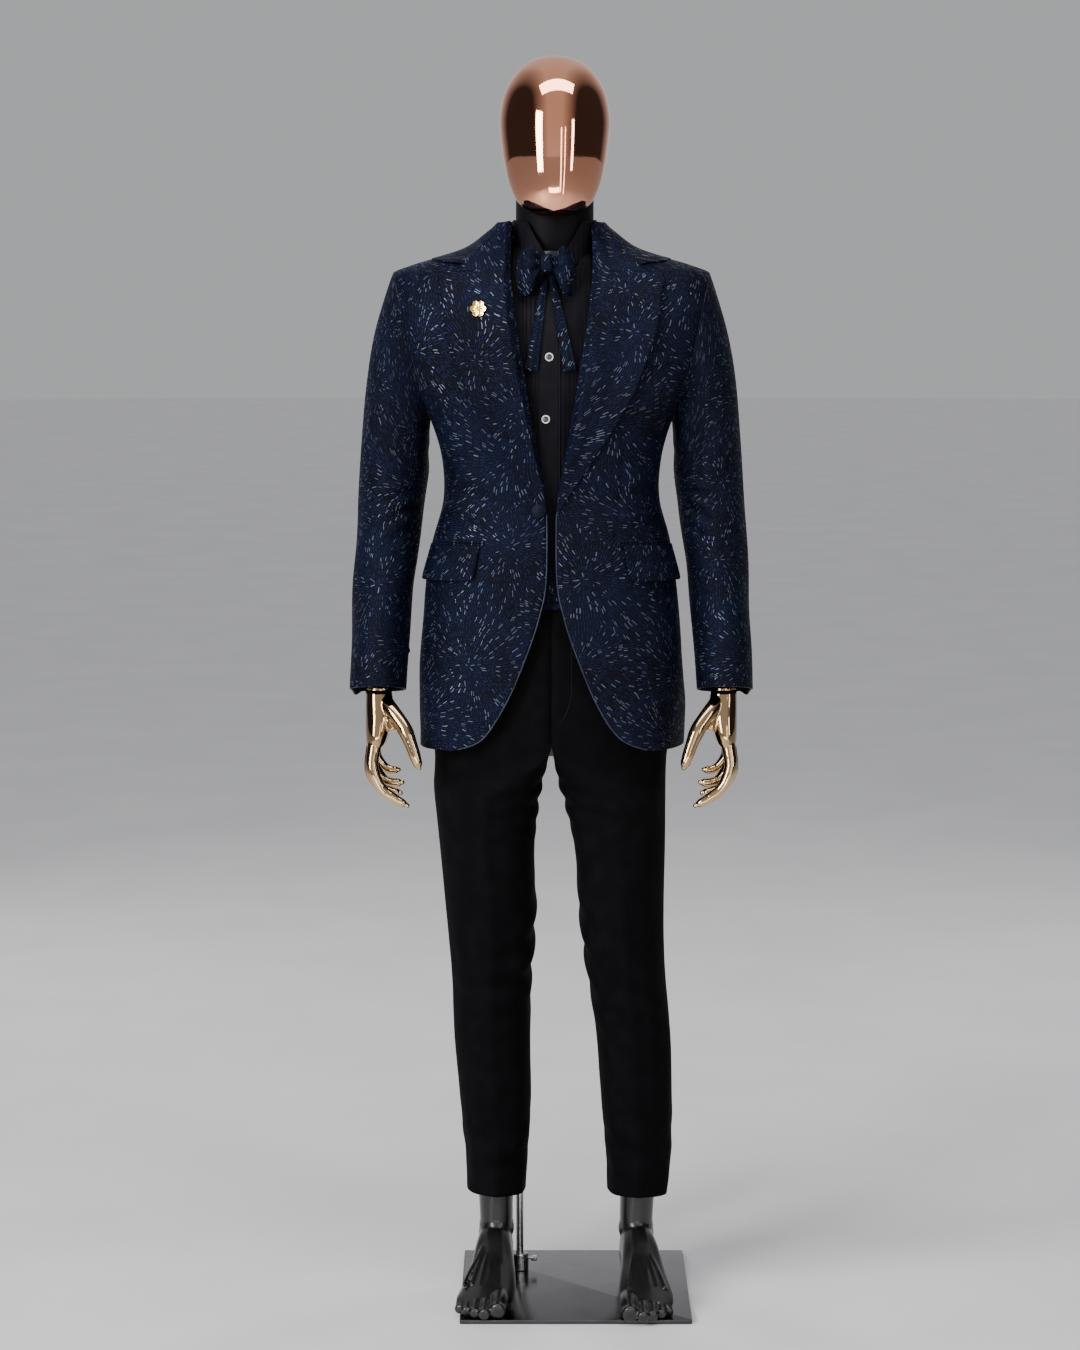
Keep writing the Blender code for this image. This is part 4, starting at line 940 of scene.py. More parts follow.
def buildShirt():
    last = len(chestRows) - 1

    def place(u, v):
        # the front holds most of the columns, for the tucks
        row = smoothRow(chestRows, v * last)
        wide = min(row[1] * 0.98, 0.068)
        share = (u - 0.5) / 0.36
        if abs(share) <= 1:
            angle = -frontAngle(row, share * wide)
        else:
            turned = (math.pi / 2 + frontAngle(row, wide)) * (1 - abs(u - 0.5) * 2) / 0.28
            angle = turned - math.pi * 1.5 if u < 0.5 else math.pi / 2 - turned
        spot = levelPoint(row, angle, shirtFit["grow"], 0.0)
        # the front dips to the knot
        if v > 0.8 and spot.y < 0:
            spot.z = min(spot.z, 1.569 + 1.15 * abs(spot.x + 0.002))
        if abs(share) <= 1:
            fold = 0.0008 * waver(spot.x * 8, 0, spot.z * 3, 6.0, 4.0)
            spot.y -= shirtRelief(spot.x - shirtFit["middle"], 1.0) + fold
        return Vector((figure["middle"] + spot.x, spot.y, spot.z))
    shirt = warpedGrid(420, 80, place, closed=True)
    trimAtShoulder(shirt, -1, 0.0005, 1.360)
    trimAtShoulder(shirt, 1, 0.0005, 1.360)
    makePiece("shirtFront", shirt, shirtCloth, "torso", ["shirt_body"], cloth["shirting"],
              (figure["middle"], 0.0), sharp=60)
    # a stand that opens upwards in a V over the neck, and a fall folded over it
    collar = {"low": 1.574, "top": 1.6440, "dip": 0.003, "radius": 0.0606, "shut": 0.06, "open": 0.74,
              "fall": 0.066}

    def opening(height):
        # half the angle left open at the front, by the share of the stand's height
        return collar["shut"] + (collar["open"] - collar["shut"]) * height ** 1.2

    def stand(u, v):
        gap = opening(v)
        angle = -math.pi / 2 + gap + (math.tau - 2 * gap) * u
        frontness = ease(-math.sin(angle), 0.3, 1.0)
        z = collar["low"] + (collar["top"] - collar["dip"] * frontness - collar["low"]) * v
        r = collar["radius"] + 0.0028 * (1 - v) + 0.0006 * math.sin(angle * 46) * (1 - v)
        lean = 0.012 * (1 - v) ** 1.4 * frontness
        return Vector((figure["neckX"] + r * math.cos(angle), figure["neckY"] + r * math.sin(angle) - lean,
                       z))

    def leaf(u, v):
        gap = opening(1 - v * collar["fall"] / (collar["top"] - collar["low"])) - 0.03
        angle = -math.pi / 2 + gap + (math.tau - 2 * gap) * u
        frontness = ease(-math.sin(angle), 0.3, 1.0)
        top = collar["top"] + 0.0015 - collar["dip"] * frontness
        z = top - collar["fall"] * v * (0.60 + 0.40 * frontness)
        r = collar["radius"] + 0.0016 + 0.0040 * math.sin(math.pi * 0.5 * min(1.0, v * 2.4))
        r += 0.0006 * math.sin(angle * 46) * v
        lean = 0.017 * v ** 1.3 * frontness
        return Vector((figure["neckX"] + r * math.cos(angle), figure["neckY"] + r * math.sin(angle) - lean,
                       z))
    for name, form, rows, stands in (("shirtStand", stand, 14, ["shirt_collar"]),
                                     ("shirtLeaf", leaf, 16, [])):
        bm = warpedGrid(220, rows, form)
        makePiece(name, bm, shirtCloth, "torso", stands, 0.0011,
                  (figure["neckX"], figure["neckY"]))
    for name, z, x in (("upper", 1.446, -0.0035), ("lower", 1.355, -0.0085)):
        y = levelPoint(rowAt(chestRows, z), -math.pi / 2, shirtFit["grow"] + 0.0018).y
        spot = Vector((figure["middle"] + x, y, z))
        ring = [(0.0043, 0.0004), (0.0056, 0.0004), (0.0062, 0.0012), (0.0059, 0.0021), (0.0050, 0.0026),
                (0.0046, 0.0023), (0.0043, 0.0014), (0.0043, 0.0004)]
        makePiece("studRing_" + name, turnedSolid(ring, spot, (0, -1, 0)), pearl, "torso",
                  ["shirt_stud_" + name])
        eye = [(0, 0), (0.0037, 0), (0.0036, 0.0012), (0.0022, 0.0020), (0, 0.0023)]
        makePiece("studEye_" + name, turnedSolid(eye, spot, (0, -1, 0), 24), studDark, "torso")
    print("shirt built")


bow = {"x": -0.007, "y": -0.0945, "z": 1.583}


def buildBow():
    centre = Vector((figure["middle"] + bow["x"], bow["y"], bow["z"]))

    def knot(u, v):
        turn = u * math.tau
        c, s = rounded(turn, 2.6)
        high = (v - 0.5) * 0.025
        wide = 0.0082 + 0.0016 * math.cos((v - 0.5) * math.pi) + 0.0006 * math.sin(turn * 5 + v * 4)
        return centre + Vector((c * wide, s * wide * 0.82, high))
    bm = capEnds(warpedGrid(40, 18, knot, closed=True, offset=(20.0, 0.0)))
    makePiece("bowKnot", bm, brocadeCloth, "torso", ["bow_knot"])
    for name, side, slim in (("right", -1, 1.0), ("left", 1, 0.92)):
        def loop(u, v, side=side, slim=slim):
            # a band folded out to its end and back: u round the band, v across it
            way = u * math.tau
            out = 0.0070 + 0.0375 * slim * (0.5 - 0.5 * math.cos(way))
            share = (out - 0.0070) / 0.0375
            tall = 0.012 + 0.058 * ease(share, -0.12, 0.62) - 0.010 * ease(share, 0.7, 1.0)
            front = math.sin(way)
            hollow = 0.0088 * front * math.sin(math.pi * min(1.0, share * 1.02)) ** 0.8 + 0.0016 * front
            pleat = 0.0026 * math.sin((v - 0.5) * 15) * (1 - ease(share, 0.1, 0.65))
            droop = 0.44 * (out - 0.0070) + 0.0008
            z = (v - 0.5) * tall - droop + 0.0030 * waver(u * 2, v, side, 2.0)
            curl = -0.0060 * (2 * v - 1) ** 2 * share
            return centre + Vector((side * (out + curl), -hollow - pleat * (1 if front > 0 else -0.4)
                                    - 0.001, z))
        bm = warpedGrid(90, 30, loop, closed=True, offset=(21.0 + side, 0.0))
        made = makePiece("bowLoop_" + name, bm, brocadeCloth, "torso", ["bow_loop_" + name])
        solid = made.modifiers.new("wall", "SOLIDIFY")
        solid.thickness = 0.0011
        solid.offset = -1
        lean = {"right": ((-0.009, 1.566), (-0.031, 1.426)),
                "left": ((-0.003, 1.566), (0.026, 1.426))}[name]

        def tail(u, v, lean=lean, side=side):
            (x0, z0), (x1, z1) = lean
            x, z = x0 + (x1 - x0) * v ** 0.9, z0 + (z1 - z0) * v
            half = 0.0030 + 0.0062 * v ** 0.8
            y = (levelPoint(rowAt(chestRows, z), -math.pi / 2, shirtFit["grow"] + 0.0052).y - 0.0035
                 * (1 - v))
            slack = 0.0012 * math.sin(v * 7 + u * 2) + 0.0008 * math.cos((u - 0.5) * 9)
            across = (u - 0.5) * 2 * half
            return Vector((figure["middle"] + 0.001 + x + across, y - slack, z + across * side * 0.16))
        bm = warpedGrid(16, 60, tail, offset=(23.0 + side, 0.0))
        makePiece("bowTail_" + name, bm, brocadeCloth, "torso", ["bow_tail_" + name],
                  0.0013,
                  (figure["middle"], 0.0))
    print("bow built")


waistRows = [(1.072, 0.1565, -0.1070, 0.0975, 2.3), (1.104, 0.1530, -0.1050, 0.0935, 2.3),
             (1.136, 0.1500, -0.1035, 0.0900, 2.3)]
sash = {"folds": 5, "relief": 0.0028}


def buildSash():
    # upward-lapped folds
    def place(u, v):
        row = smoothRow(waistRows, v * (len(waistRows) - 1))
        share = v * sash["folds"] % 1.0
        rise = sash["relief"] * (1 - share) * ease(share, 0.0, 0.16) if v < 0.999 else 0.0
        return levelPoint(row, u * math.tau, rise - 0.001 + 0.0006 * waver(u * 9, v, 0, 5.0))
    bm = warpedGrid(220, 56, place, closed=True, offset=(30.0, 0.0))
    makePiece("cummerbund", bm, brocadeCloth, "torso", ["cummerbund"], 0.0016,
              (figure["middle"], 0.0))


# the trousers
# legs are height, outer and inner distance in x from the plate's middle, middle in y, half depth
trouserRows = {
    "right": [(0.152, -0.1670, -0.0745, 0.052, 0.070), (0.200, -0.1690, -0.0730, 0.048, 0.073),
              (0.290, -0.1770, -0.0675, 0.044, 0.076), (0.400, -0.1860, -0.0690, 0.030, 0.078),
              (0.500, -0.1905, -0.0665, 0.014, 0.078), (0.600, -0.1970, -0.0600, 0.004, 0.083),
              (0.700, -0.2065, -0.0620, 0.000, 0.091), (0.800, -0.2170, -0.0520, 0.000, 0.101)],
    "left": [(0.152, 0.1440, 0.0530, 0.044, 0.070), (0.200, 0.1490, 0.0500, 0.042, 0.072),
             (0.290, 0.1510, 0.0420, 0.036, 0.076), (0.400, 0.1475, 0.0330, 0.024, 0.078),
             (0.500, 0.1390, 0.0190, 0.010, 0.078), (0.600, 0.1355, 0.0050, 0.002, 0.083),
             (0.700, 0.1365, -0.0020, 0.000, 0.091), (0.800, 0.1370, -0.0240, 0.000, 0.101)],
}
seatRows = [
    (0.800, 0.1745, -0.098, 0.102, 2.3), (0.836, 0.1760, -0.100, 0.104, 2.3),
    (0.885, 0.1800, -0.107, 0.113, 2.4),
    (0.960, 0.1740, -0.108, 0.113, 2.4), (1.020, 0.1620, -0.104, 0.103, 2.4),
    (1.080, 0.1500, -0.101, 0.092, 2.3),
    (1.104, 0.1475, -0.100, 0.088, 2.3),
]
trouserFit = {"columns": 132, "rows": 250, "crease": 0.0052, "join": (0.775, 0.868), "top": 1.100,
              "wall": 0.0012}


def trouserFold(turn, z, seed):
    # pulls at the crotch, slack at the knee and a break above the shoe line
    front = ease(-math.sin(turn), 0.0, 0.9)
    inner = ease(-math.cos(turn), -0.3, 0.8)
    push = 0.0017 * waver(math.cos(turn) * 0.5, math.sin(turn) * 0.5, z * 2, 4.5, seed)
    push += 0.0024 * hump(z, 0.79, 0.055) * inner * math.sin((z + 0.02 * math.cos(turn)) * 190)
    push += 0.0030 * hump(z, 0.545, 0.075) * inner * math.sin((z - 0.03 * math.sin(turn)) * 105 + seed)
    push += 0.0018 * hump(z, 0.48, 0.07) * front * math.sin(z * 130 + turn * 1.5)
    push += 0.0018 * hump(z, 0.235, 0.05) * math.sin(z * 105 + turn * 2.4 + seed) * (0.4 + 0.6 * front)
    push += 0.0020 * ease(-z, -0.20, -0.152) * math.sin(turn * 3 + seed)
    return push


def buildTrousers():
    for name, side, seed in (("right", -1, 1.0), ("left", 1, 4.0)):
        rows = trouserRows[name]
        low, high = trouserFit["join"]

        def place(u, v, rows=rows, side=side, seed=seed, low=low, high=high):
            turn = u * math.tau - math.pi
            z = rows[0][0] + (trouserFit["top"] - rows[0][0]) * v
            fold = trouserFold(turn, z, seed)
            creased = ease(-z, -0.86, -0.78)
            gap = min(abs(turn + math.pi / 2), abs(turn - math.pi / 2))
            fold += trouserFit["crease"] * math.exp(-gap / 0.13) * creased
            _, outer, inner, y, depth = rowAt(rows, min(z, rows[-1][0] - 0.0001))
            c, s = rounded(turn, 3.0 - 0.4 * ease(z, 0.25, 0.5))
            x = (outer + inner) / 2 + c * (abs(outer - inner) / 2 + fold) * side
            leg = Vector((x, y + s * (depth + fold), z))
            if z < low:
                return leg
            row = rowAt(seatRows, z)
            if abs(turn) <= math.pi / 2:
                spot = levelPoint(row, turn, 0.0, 0.0)
            else:
                middle, deep = (row[2] + row[3]) / 2, (row[3] - row[2]) / 2
                spot = Vector((0.0, middle + deep * s, z))
            overlap = 0.0012 * hump(spot.x, 0.0, 0.016) * (1 if side > 0 else -0.4) * ease(z, 0.87, 0.90)
            seat = Vector((figure["middle"] + side * spot.x, spot.y + (fold * 0.4 + overlap)
                           * (1 if s > 0 else -1), z))
            return leg.lerp(seat, ease(z, low, high))
        bm = warpedGrid(trouserFit["columns"], trouserFit["rows"], place, closed=True)
        inside = [f for f in bm.faces if f.calc_center_median().z > high + 0.004
                  and all(abs(v.co.x - figure["middle"]) < 0.0006 for v in f.verts)]
        bmesh.ops.delete(bm, geom=inside, context="FACES")
        middleX = (rows[3][1] + rows[3][2]) / 2
        makePiece("trouserLeg_" + name, bm, woolCloth, "torso", ["trousers"],
                  trouserFit["wall"],
                  (middleX, 0.01), sharp=50)
    # the fly's stitched line
    line = []
    for i in range(40):
        share = i / 39
        z = 1.065 - 0.175 * share
        x = 0.028 * math.sqrt(max(0.0, 1 - ease(share, 0.55, 1.0) ** 2)) + 0.002
        row = rowAt(seatRows, z)
        line.append(levelPoint(row, -frontAngle(row, x), 0.0002))
    makePiece("flyStitch", tubeAlong(line, 0.0006, 6), liningCloth, "torso")
    print("trousers built")


# the moulded figure
# bare legs are height, middle in x and y, half width, half depth
legRows = {
    "right": [(0.050, -0.122, 0.036, 0.0240, 0.034), (0.100, -0.122, 0.036, 0.0255, 0.031),
              (0.160, -0.123, 0.042, 0.0285, 0.035), (0.250, -0.122, 0.048, 0.0420, 0.050),
              (0.340, -0.123, 0.046, 0.0470, 0.056), (0.430, -0.126, 0.026, 0.0440, 0.052),
              (0.500, -0.128, 0.012, 0.0480, 0.056), (0.620, -0.130, 0.004, 0.0590, 0.070),
              (0.740, -0.130, 0.000, 0.0660, 0.084), (0.838, -0.130, 0.000, 0.0720, 0.092)],
    "left": [(0.050, 0.096, 0.032, 0.0240, 0.034), (0.100, 0.096, 0.032, 0.0255, 0.031),
             (0.160, 0.098, 0.038, 0.0285, 0.035), (0.250, 0.098, 0.044, 0.0420, 0.050),
             (0.340, 0.095, 0.040, 0.0470, 0.056), (0.430, 0.086, 0.024, 0.0440, 0.052),
             (0.500, 0.079, 0.010, 0.0480, 0.056), (0.620, 0.068, 0.002, 0.0590, 0.070),
             (0.740, 0.062, 0.000, 0.0640, 0.084), (0.838, 0.056, 0.000, 0.0700, 0.092)],
}
# the foot from the heel: y, lower and upper height, half width, sideways drift
footRows = [
    (0.0740, 0.026, 0.052, 0.012, 0.000), (0.0660, 0.006, 0.074, 0.0225, 0.000),
    (0.040, 0.000, 0.092, 0.0270, 0.000),
    (0.000, 0.004, 0.088, 0.0300, 0.002), (-0.050, 0.007, 0.062, 0.0350, 0.004),
    (-0.100, 0.001, 0.041, 0.0415, 0.004),
    (-0.128, 0.001, 0.030, 0.0410, 0.003), (-0.144, 0.004, 0.023, 0.0360, 0.002),
]
# toes from the great toe: distance to the inner side, root and tip in y, radius
toes = [(0.0255, -0.118, -0.1745, 0.0128), (0.0060, -0.128, -0.1780, 0.0092),
        (-0.0090, -0.124, -0.1720, 0.0086),
        (-0.0225, -0.116, -0.1620, 0.0082), (-0.0340, -0.103, -0.1490, 0.0080)]
stance = {"right": {"drift": -0.10, "forward": 0.0, "inner": 1},
          "left": {"drift": 0.05, "forward": -0.012, "inner": -1}}
footFit = {"sole": 0.0065, "voxel": 0.0016}


def ball(place, size):
    bm = bmesh.new()
    bmesh.ops.create_uvsphere(bm, u_segments=24, v_segments=14, radius=1.0)
    bmesh.ops.scale(bm, vec=size, verts=bm.verts)
    bmesh.ops.translate(bm, vec=place, verts=bm.verts)
    return bm


def buildLegs():
    for name in ("right", "left"):
        rows, stand = legRows[name], stance[name]
        heel = rows[0][1]

        def footSpot(across, y, z, stand=stand, heel=heel):
            x = heel + stand["drift"] * (0.05 - y) + stand["inner"] * across
            return Vector((x, y + stand["forward"], z + footFit["sole"]))

        def last(u, v):
            y, low, high, half, aside = smoothRow(footRows, v * (len(footRows) - 1))
            turn = u * math.tau
            c, s = rounded(turn, 2.3)
            lean = 0.006 * max(0.0, s) * ease(-y, 0.0, 0.08)
            return (footSpot(-c * half + lean, y, (low + high) / 2 + s * (high - low) / 2)
                    + Vector((aside, 0, 0)))
        foot = capEnds(warpedGrid(48, 60, last, closed=True))

        def shin(u, v, top=0.30):
            z = 0.050 + (top - 0.050) * v
            _, x, y, half, depth = rowAt(rows, z)
            c, s = rounded(u * math.tau, 2.1)
            bone = 0.0035 * hump(u, 0.75, 0.05) * ease(z, 0.10, 0.20)
            heelCord = 0.004 * hump(u, 0.25, 0.04) * ease(-z, -0.2, -0.12)
            return Vector((x + c * half, y + s * (depth + bone + heelCord), z))
        gather(foot, capEnds(warpedGrid(48, 40, shin, closed=True)))
        for across, root, tip, radius in toes:
            points = [footSpot(across * 0.92, root + 0.016, 0.020), footSpot(across, root, radius + 0.007),
                      footSpot(across, (root + tip) / 2, radius + 0.0050),
                      footSpot(across, tip + radius, radius),
                      footSpot(across * 0.99, tip, radius * 0.84)]
            path = [smoothRow([tuple(p) for p in points], 4 * i / 24) for i in range(25)]
            gather(foot, tubeAlong(path, lambda s, r=radius: r * (0.92 + 0.12 * hump(s, 0.42, 0.14)
                                   + 0.10 * hump(s, 0.86, 0.12))
                                   * math.sqrt(max(0.02, 1 - ease(s, 0.9, 1.0) ** 2 * 0.9)), 18))
            ridge = [footSpot(across * 0.25, -0.012, 0.076), footSpot(across * 0.50, -0.045, 0.0605),
                     footSpot(across * 0.80, -0.085, 0.0445), footSpot(across * 0.95, -0.112, 0.0330)]
            path = [smoothRow([tuple(p) for p in ridge], 3 * i / 16) for i in range(17)]
            gather(foot, tubeAlong(path, 0.0030, 10))
        inner = stand["inner"]
        ankleZ, y = 0.088, rows[1][2]
        gather(foot, ball((heel + inner * 0.0190, y - 0.004, ankleZ), (0.0090, 0.013, 0.016)))
        gather(foot, ball((heel - inner * 0.0190, y + 0.003, ankleZ - 0.010), (0.0090, 0.012, 0.016)))
        gather(foot, ball((heel, y + 0.001, ankleZ + 0.002), (0.0272, 0.0360, 0.0300)))
        foot = fused(foot, footFit["voxel"], 14)
        for v in foot.verts:
            v.co.z = max(v.co.z, footFit["sole"])

        def thigh(u, v):
            z = 0.285 + (0.838 - 0.285) * v
            _, x, y, half, depth = rowAt(rows, z)
            c, s = rounded(u * math.tau, 2.1)
            slim = 1 - 0.16 * ease(z, 0.74, 0.83)
            return Vector((x + c * half * slim, y + s * depth * slim, z))
        gather(foot, capEnds(warpedGrid(40, 50, thigh, closed=True)))
        makePiece("leg_" + name, foot, shellBlack, "torso", [name + "_leg"], sharp=60)
    print("legs and feet built")


# digits of a hand from the knuckle: points from the figure's middle, then root and tip radius
digits = {
    "index": ([(0.261, -0.076, 0.885), (0.266, -0.084, 0.858), (0.268, -0.089, 0.832),
               (0.2560, -0.092, 0.804),
               (0.2370, -0.094, 0.788), (0.2160, -0.095, 0.7765)], 0.0112, 0.0068),
    "middle": ([(0.263, -0.060, 0.882), (0.269, -0.064, 0.854), (0.271, -0.067, 0.826),
                (0.2580, -0.070, 0.802),
                (0.2420, -0.072, 0.794), (0.2270, -0.073, 0.7920)], 0.0114, 0.0070),
    "ring": ([(0.262, -0.043, 0.882), (0.267, -0.044, 0.856), (0.268, -0.045, 0.830),
              (0.2540, -0.047, 0.809),
              (0.2400, -0.049, 0.804), (0.2250, -0.050, 0.8045)], 0.0107, 0.0066),
    "little": ([(0.258, -0.028, 0.888), (0.263, -0.026, 0.864), (0.265, -0.025, 0.842),
                (0.2530, -0.026, 0.825),
                (0.2420, -0.027, 0.820), (0.2310, -0.028, 0.8205)], 0.0092, 0.0060),
    "thumb": ([(0.252, -0.062, 0.930), (0.237, -0.078, 0.914), (0.220, -0.091, 0.893),
               (0.2095, -0.099, 0.870),
               (0.2025, -0.103, 0.850), (0.1975, -0.104, 0.8350)], 0.0140, 0.0068),
}
palmRows = [
    # x, y, z, half width across the palm, half thickness
    (0.2590, -0.0500, 0.944, 0.0235, 0.0195), (0.2590, -0.0530, 0.925, 0.0265, 0.0200),
    (0.2590, -0.0555, 0.905, 0.0325, 0.0200), (0.2605, -0.0560, 0.885, 0.0375, 0.0185),
    (0.2625, -0.0550, 0.868, 0.0380, 0.0155), (0.2640, -0.0540, 0.860, 0.0335, 0.0115),
]
handFit = {"voxel": 0.00125}


def buildHands():
    for name, side in (("right", -1), ("left", 1)):
        def palm(u, v, side=side):
            x, y, z, wide, thick = smoothRow(palmRows, v * (len(palmRows) - 1))
            c, s = rounded(u * math.tau, 2.4)
            return Vector((figure["middle"] + side * (x + c * thick), y + s * wide, z))
        bm = capEnds(warpedGrid(40, 40, palm, closed=True))
        for points, root, tip in digits.values():
            path = [smoothRow(points, (len(points) - 1) * i / 36) for i in range(37)]
            path = [(figure["middle"] + side * x, y, z) for x, y, z in path]

            def width(s, root=root, tip=tip):
                bulge = 1 + 0.07 * hump(s, 0.46, 0.07) + 0.05 * hump(s, 0.76, 0.06)
                return ((root + (tip - root) * s) * bulge
                        * math.sqrt(max(0.03, 1 - ease(s, 0.88, 1.0) ** 2 * 0.93)))
            gather(bm, tubeAlong(path, width, 20))
            gather(bm, ball(path[-1], (tip * 0.62, tip * 0.62, tip * 0.62)))
            nailAt = Vector(path[-3]) + Vector((side * 0.0042, -0.0012, 0.0014)) * (tip / 0.007)
            gather(bm, ball(nailAt, (0.0026, 0.0040, 0.0046)))
        # the web between the palm and the thumb
        web = [(0.254, -0.058, 0.936), (0.247, -0.068, 0.916), (0.241, -0.076, 0.900),
               (0.2375, -0.080, 0.887)]
        web = [(figure["middle"] + side * x, y, z) for x, y, z in web]
        gather(bm, tubeAlong(web, lambda s: 0.0160 - 0.0075 * s, 20))
        wrist = Vector((figure["middle"] + side * 0.2600, -0.046, 0.952))
        gather(bm, turnedSolid([(0, -0.020), (0.0190, -0.020), (0.0196, -0.010), (0.0196, 0.0), (0, 0.0)],
                               wrist,
                               (side * 0.02, -0.08, 1)))
        bm = fused(bm, handFit["voxel"], 9)
        makePiece("hand_" + name, bm, goldChrome, name + "_hand", [name + "_hand"],
                  sharp=80)
    print("hands built")


# the egg head: height, half width, front, back
eggRows = [
    (1.6485, 0.012, -0.078, -0.052), (1.6530, 0.028, -0.089, -0.032), (1.6620, 0.045, -0.099, -0.008),
    (1.6790, 0.060, -0.108, 0.026), (1.7140, 0.073, -0.115, 0.064), (1.7540, 0.080, -0.117, 0.084),
    (1.7940, 0.083, -0.114, 0.092), (1.8300, 0.0765, -0.104, 0.088), (1.8540, 0.064, -0.089, 0.076),
    (1.8700, 0.050, -0.070, 0.058), (1.8810, 0.032, -0.046, 0.036), (1.8865, 0.012, -0.020, 0.012),
]


def buildHead():
    def place(u, v):
        z, half, front, back = smoothRow(eggRows, v * (len(eggRows) - 1))
        return levelPoint((z, half, front, back, 2.0), u * math.tau, 0.0, figure["neckX"])
    bm = capEnds(warpedGrid(96, 110, place, closed=True))
    for face in [f for f in bm.faces if len(f.verts) > 4]:
        bmesh.ops.poke(bm, faces=[face])
    for _ in range(10):
        bmesh.ops.smooth_vert(bm, verts=bm.verts, factor=0.5, use_axis_x=True, use_axis_y=True,
                              use_axis_z=True)
    top = max(v.co.z for v in bm.verts)
    bmesh.ops.scale(bm, vec=(1, 1, (eggRows[-1][0] - 1.75) / (top - 1.75)), verts=bm.verts,
                    space=Matrix.Translation((0, 0, -1.75)))
    low, middle = min(v.co.z for v in bm.verts), 1.75
    for v in bm.verts:
        if v.co.z < middle:
            v.co.z = middle - (middle - v.co.z) * (middle - 1.6482) / (middle - low)
    makePiece("eggHead", bm, roseChrome, "head", ["head_shell"], sharp=180)

    def throat(u, v):
        z = 1.520 + (1.712 - 1.520) * v
        r = figure["neckRadius"] - 0.0045 * (1 - ease(z, 1.52, 1.60))
        turn = u * math.tau
        return Vector((figure["neckX"] + r * math.cos(turn), figure["neckY"] + r * math.sin(turn), z))
    makePiece("neckSleeve", warpedGrid(72, 30, throat, closed=True), satinCloth, "torso",
              ["neck"], 0.002, (figure["neckX"], figure["neckY"]))
    print("head and neck built")


base = {"side": 0.350, "thick": 0.006, "rodX": -0.086, "rodY": 0.078, "rodTop": 0.335, "rod": 0.006,
        "collar": 0.014, "collarHigh": 0.026, "collarFloor": 0.010, "gap": 0.0004, "screw": 0.0025}


def buildBase():
    plate = bmesh.new()
    bmesh.ops.create_cube(plate, size=1.0)
    bmesh.ops.scale(plate, vec=(base["side"], base["side"], base["thick"]), verts=plate.verts)
    bmesh.ops.translate(plate, vec=(0, 0, base["thick"] / 2), verts=plate.verts)
    upright = [e for e in plate.edges if abs(e.verts[0].co.z - e.verts[1].co.z) > 0.004]
    bmesh.ops.bevel(plate, geom=upright, offset=0.003, segments=6, profile=0.5, affect="EDGES", material=-1)
    rim = [e for e in plate.edges if abs(e.verts[0].co.z - e.verts[1].co.z) < 0.0001
           and len(e.link_faces) == 2
           and abs(e.link_faces[0].normal.z - e.link_faces[1].normal.z) > 0.5]
    bmesh.ops.bevel(plate, geom=rim, offset=0.0007, segments=3, profile=0.5, affect="EDGES", material=-1)
    makePiece("basePlate", plate, plateSteel, "base", ["base_plate"], sharp=30)
    foot = base["thick"] + base["gap"]
    x, y = base["rodX"], base["rodY"]
    high, wide, floor = base["collarHigh"], base["collar"], base["collarFloor"]
    bore = base["rod"] + 0.0003
    collar = [(0, 0), (wide - 0.0006, 0), (wide, 0.0006), (wide, high - 0.006),
              (wide - 0.0008, high - 0.0055),
              (wide - 0.0008, high - 0.0045), (wide, high - 0.004), (wide, high - 0.0015),
              (wide - 0.0015, high),
              (bore + 0.0004, high), (bore, high - 0.0004), (bore, floor), (0, floor)]
    makePiece("rodCollar", turnedSolid(collar, (x, y, foot), steps=64), turnedSteel, "base",
              ["rod_collar"])
    rodFoot = foot + floor + base["gap"]
    length = base["rodTop"] - rodFoot
    rod = [(0, 0), (base["rod"], 0), (base["rod"], length - 0.0015), (base["rod"] - 0.0015, length),
           (0, length)]
    makePiece("calfRod", turnedSolid(rod, (x, y, rodFoot), steps=48), turnedSteel, "base",
              ["support_rod"])
    clampZ = foot + (floor + high) / 2
    start, out, thin = base["rod"] + 0.0006, wide + 0.006, base["screw"]
    screw = [(0, start), (thin - 0.0006, start), (thin, start + 0.0006), (thin, out - 0.002),
             (0.0048, out - 0.002),
             (0.0055, out - 0.0013), (0.0055, out + 0.0063), (0.0048, out + 0.007), (0, out + 0.007)]
    knob = turnedSolid(screw, (x, y, clampZ), (1, 0, 0), 32)
    bar = turnedSolid([(0, -0.009), (0.0016, -0.009), (0.0021, -0.0084), (0.0021, 0.0084), (0.0016, 0.009),
                       (0, 0.009)], (x + out + 0.0036, y, clampZ), (0, 1, 0), 20)
    makePiece("clampKnob", gather(knob, bar), turnedSteel, "clamp", ["clamp_screw"])
    print("base built")


def finishHidden():
    # the nodes inside the clothes and the fittings keep their shape and get their own finish
    steelNames = ("base_bolt", "calf_socket", "head_socket", "head_spigot", "leg_lock", "waist_lock_lower",
                  "waist_lock_upper", "left_arm_lock", "right_arm_lock", "left_shoulder_lock",
                  "right_shoulder_lock", "left_wrist_lock", "right_wrist_lock")
    for name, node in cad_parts.items():
        if not node.hide_render:
            node.data.materials.clear()
            node.data.materials.append(turnedSteel if name in steelNames else shellBlack)


# the stage
studio = {"lens": 88.2, "eye": (-0.054, -4.979, 1.612), "down": math.radians(7.446), "floor": 30.0}


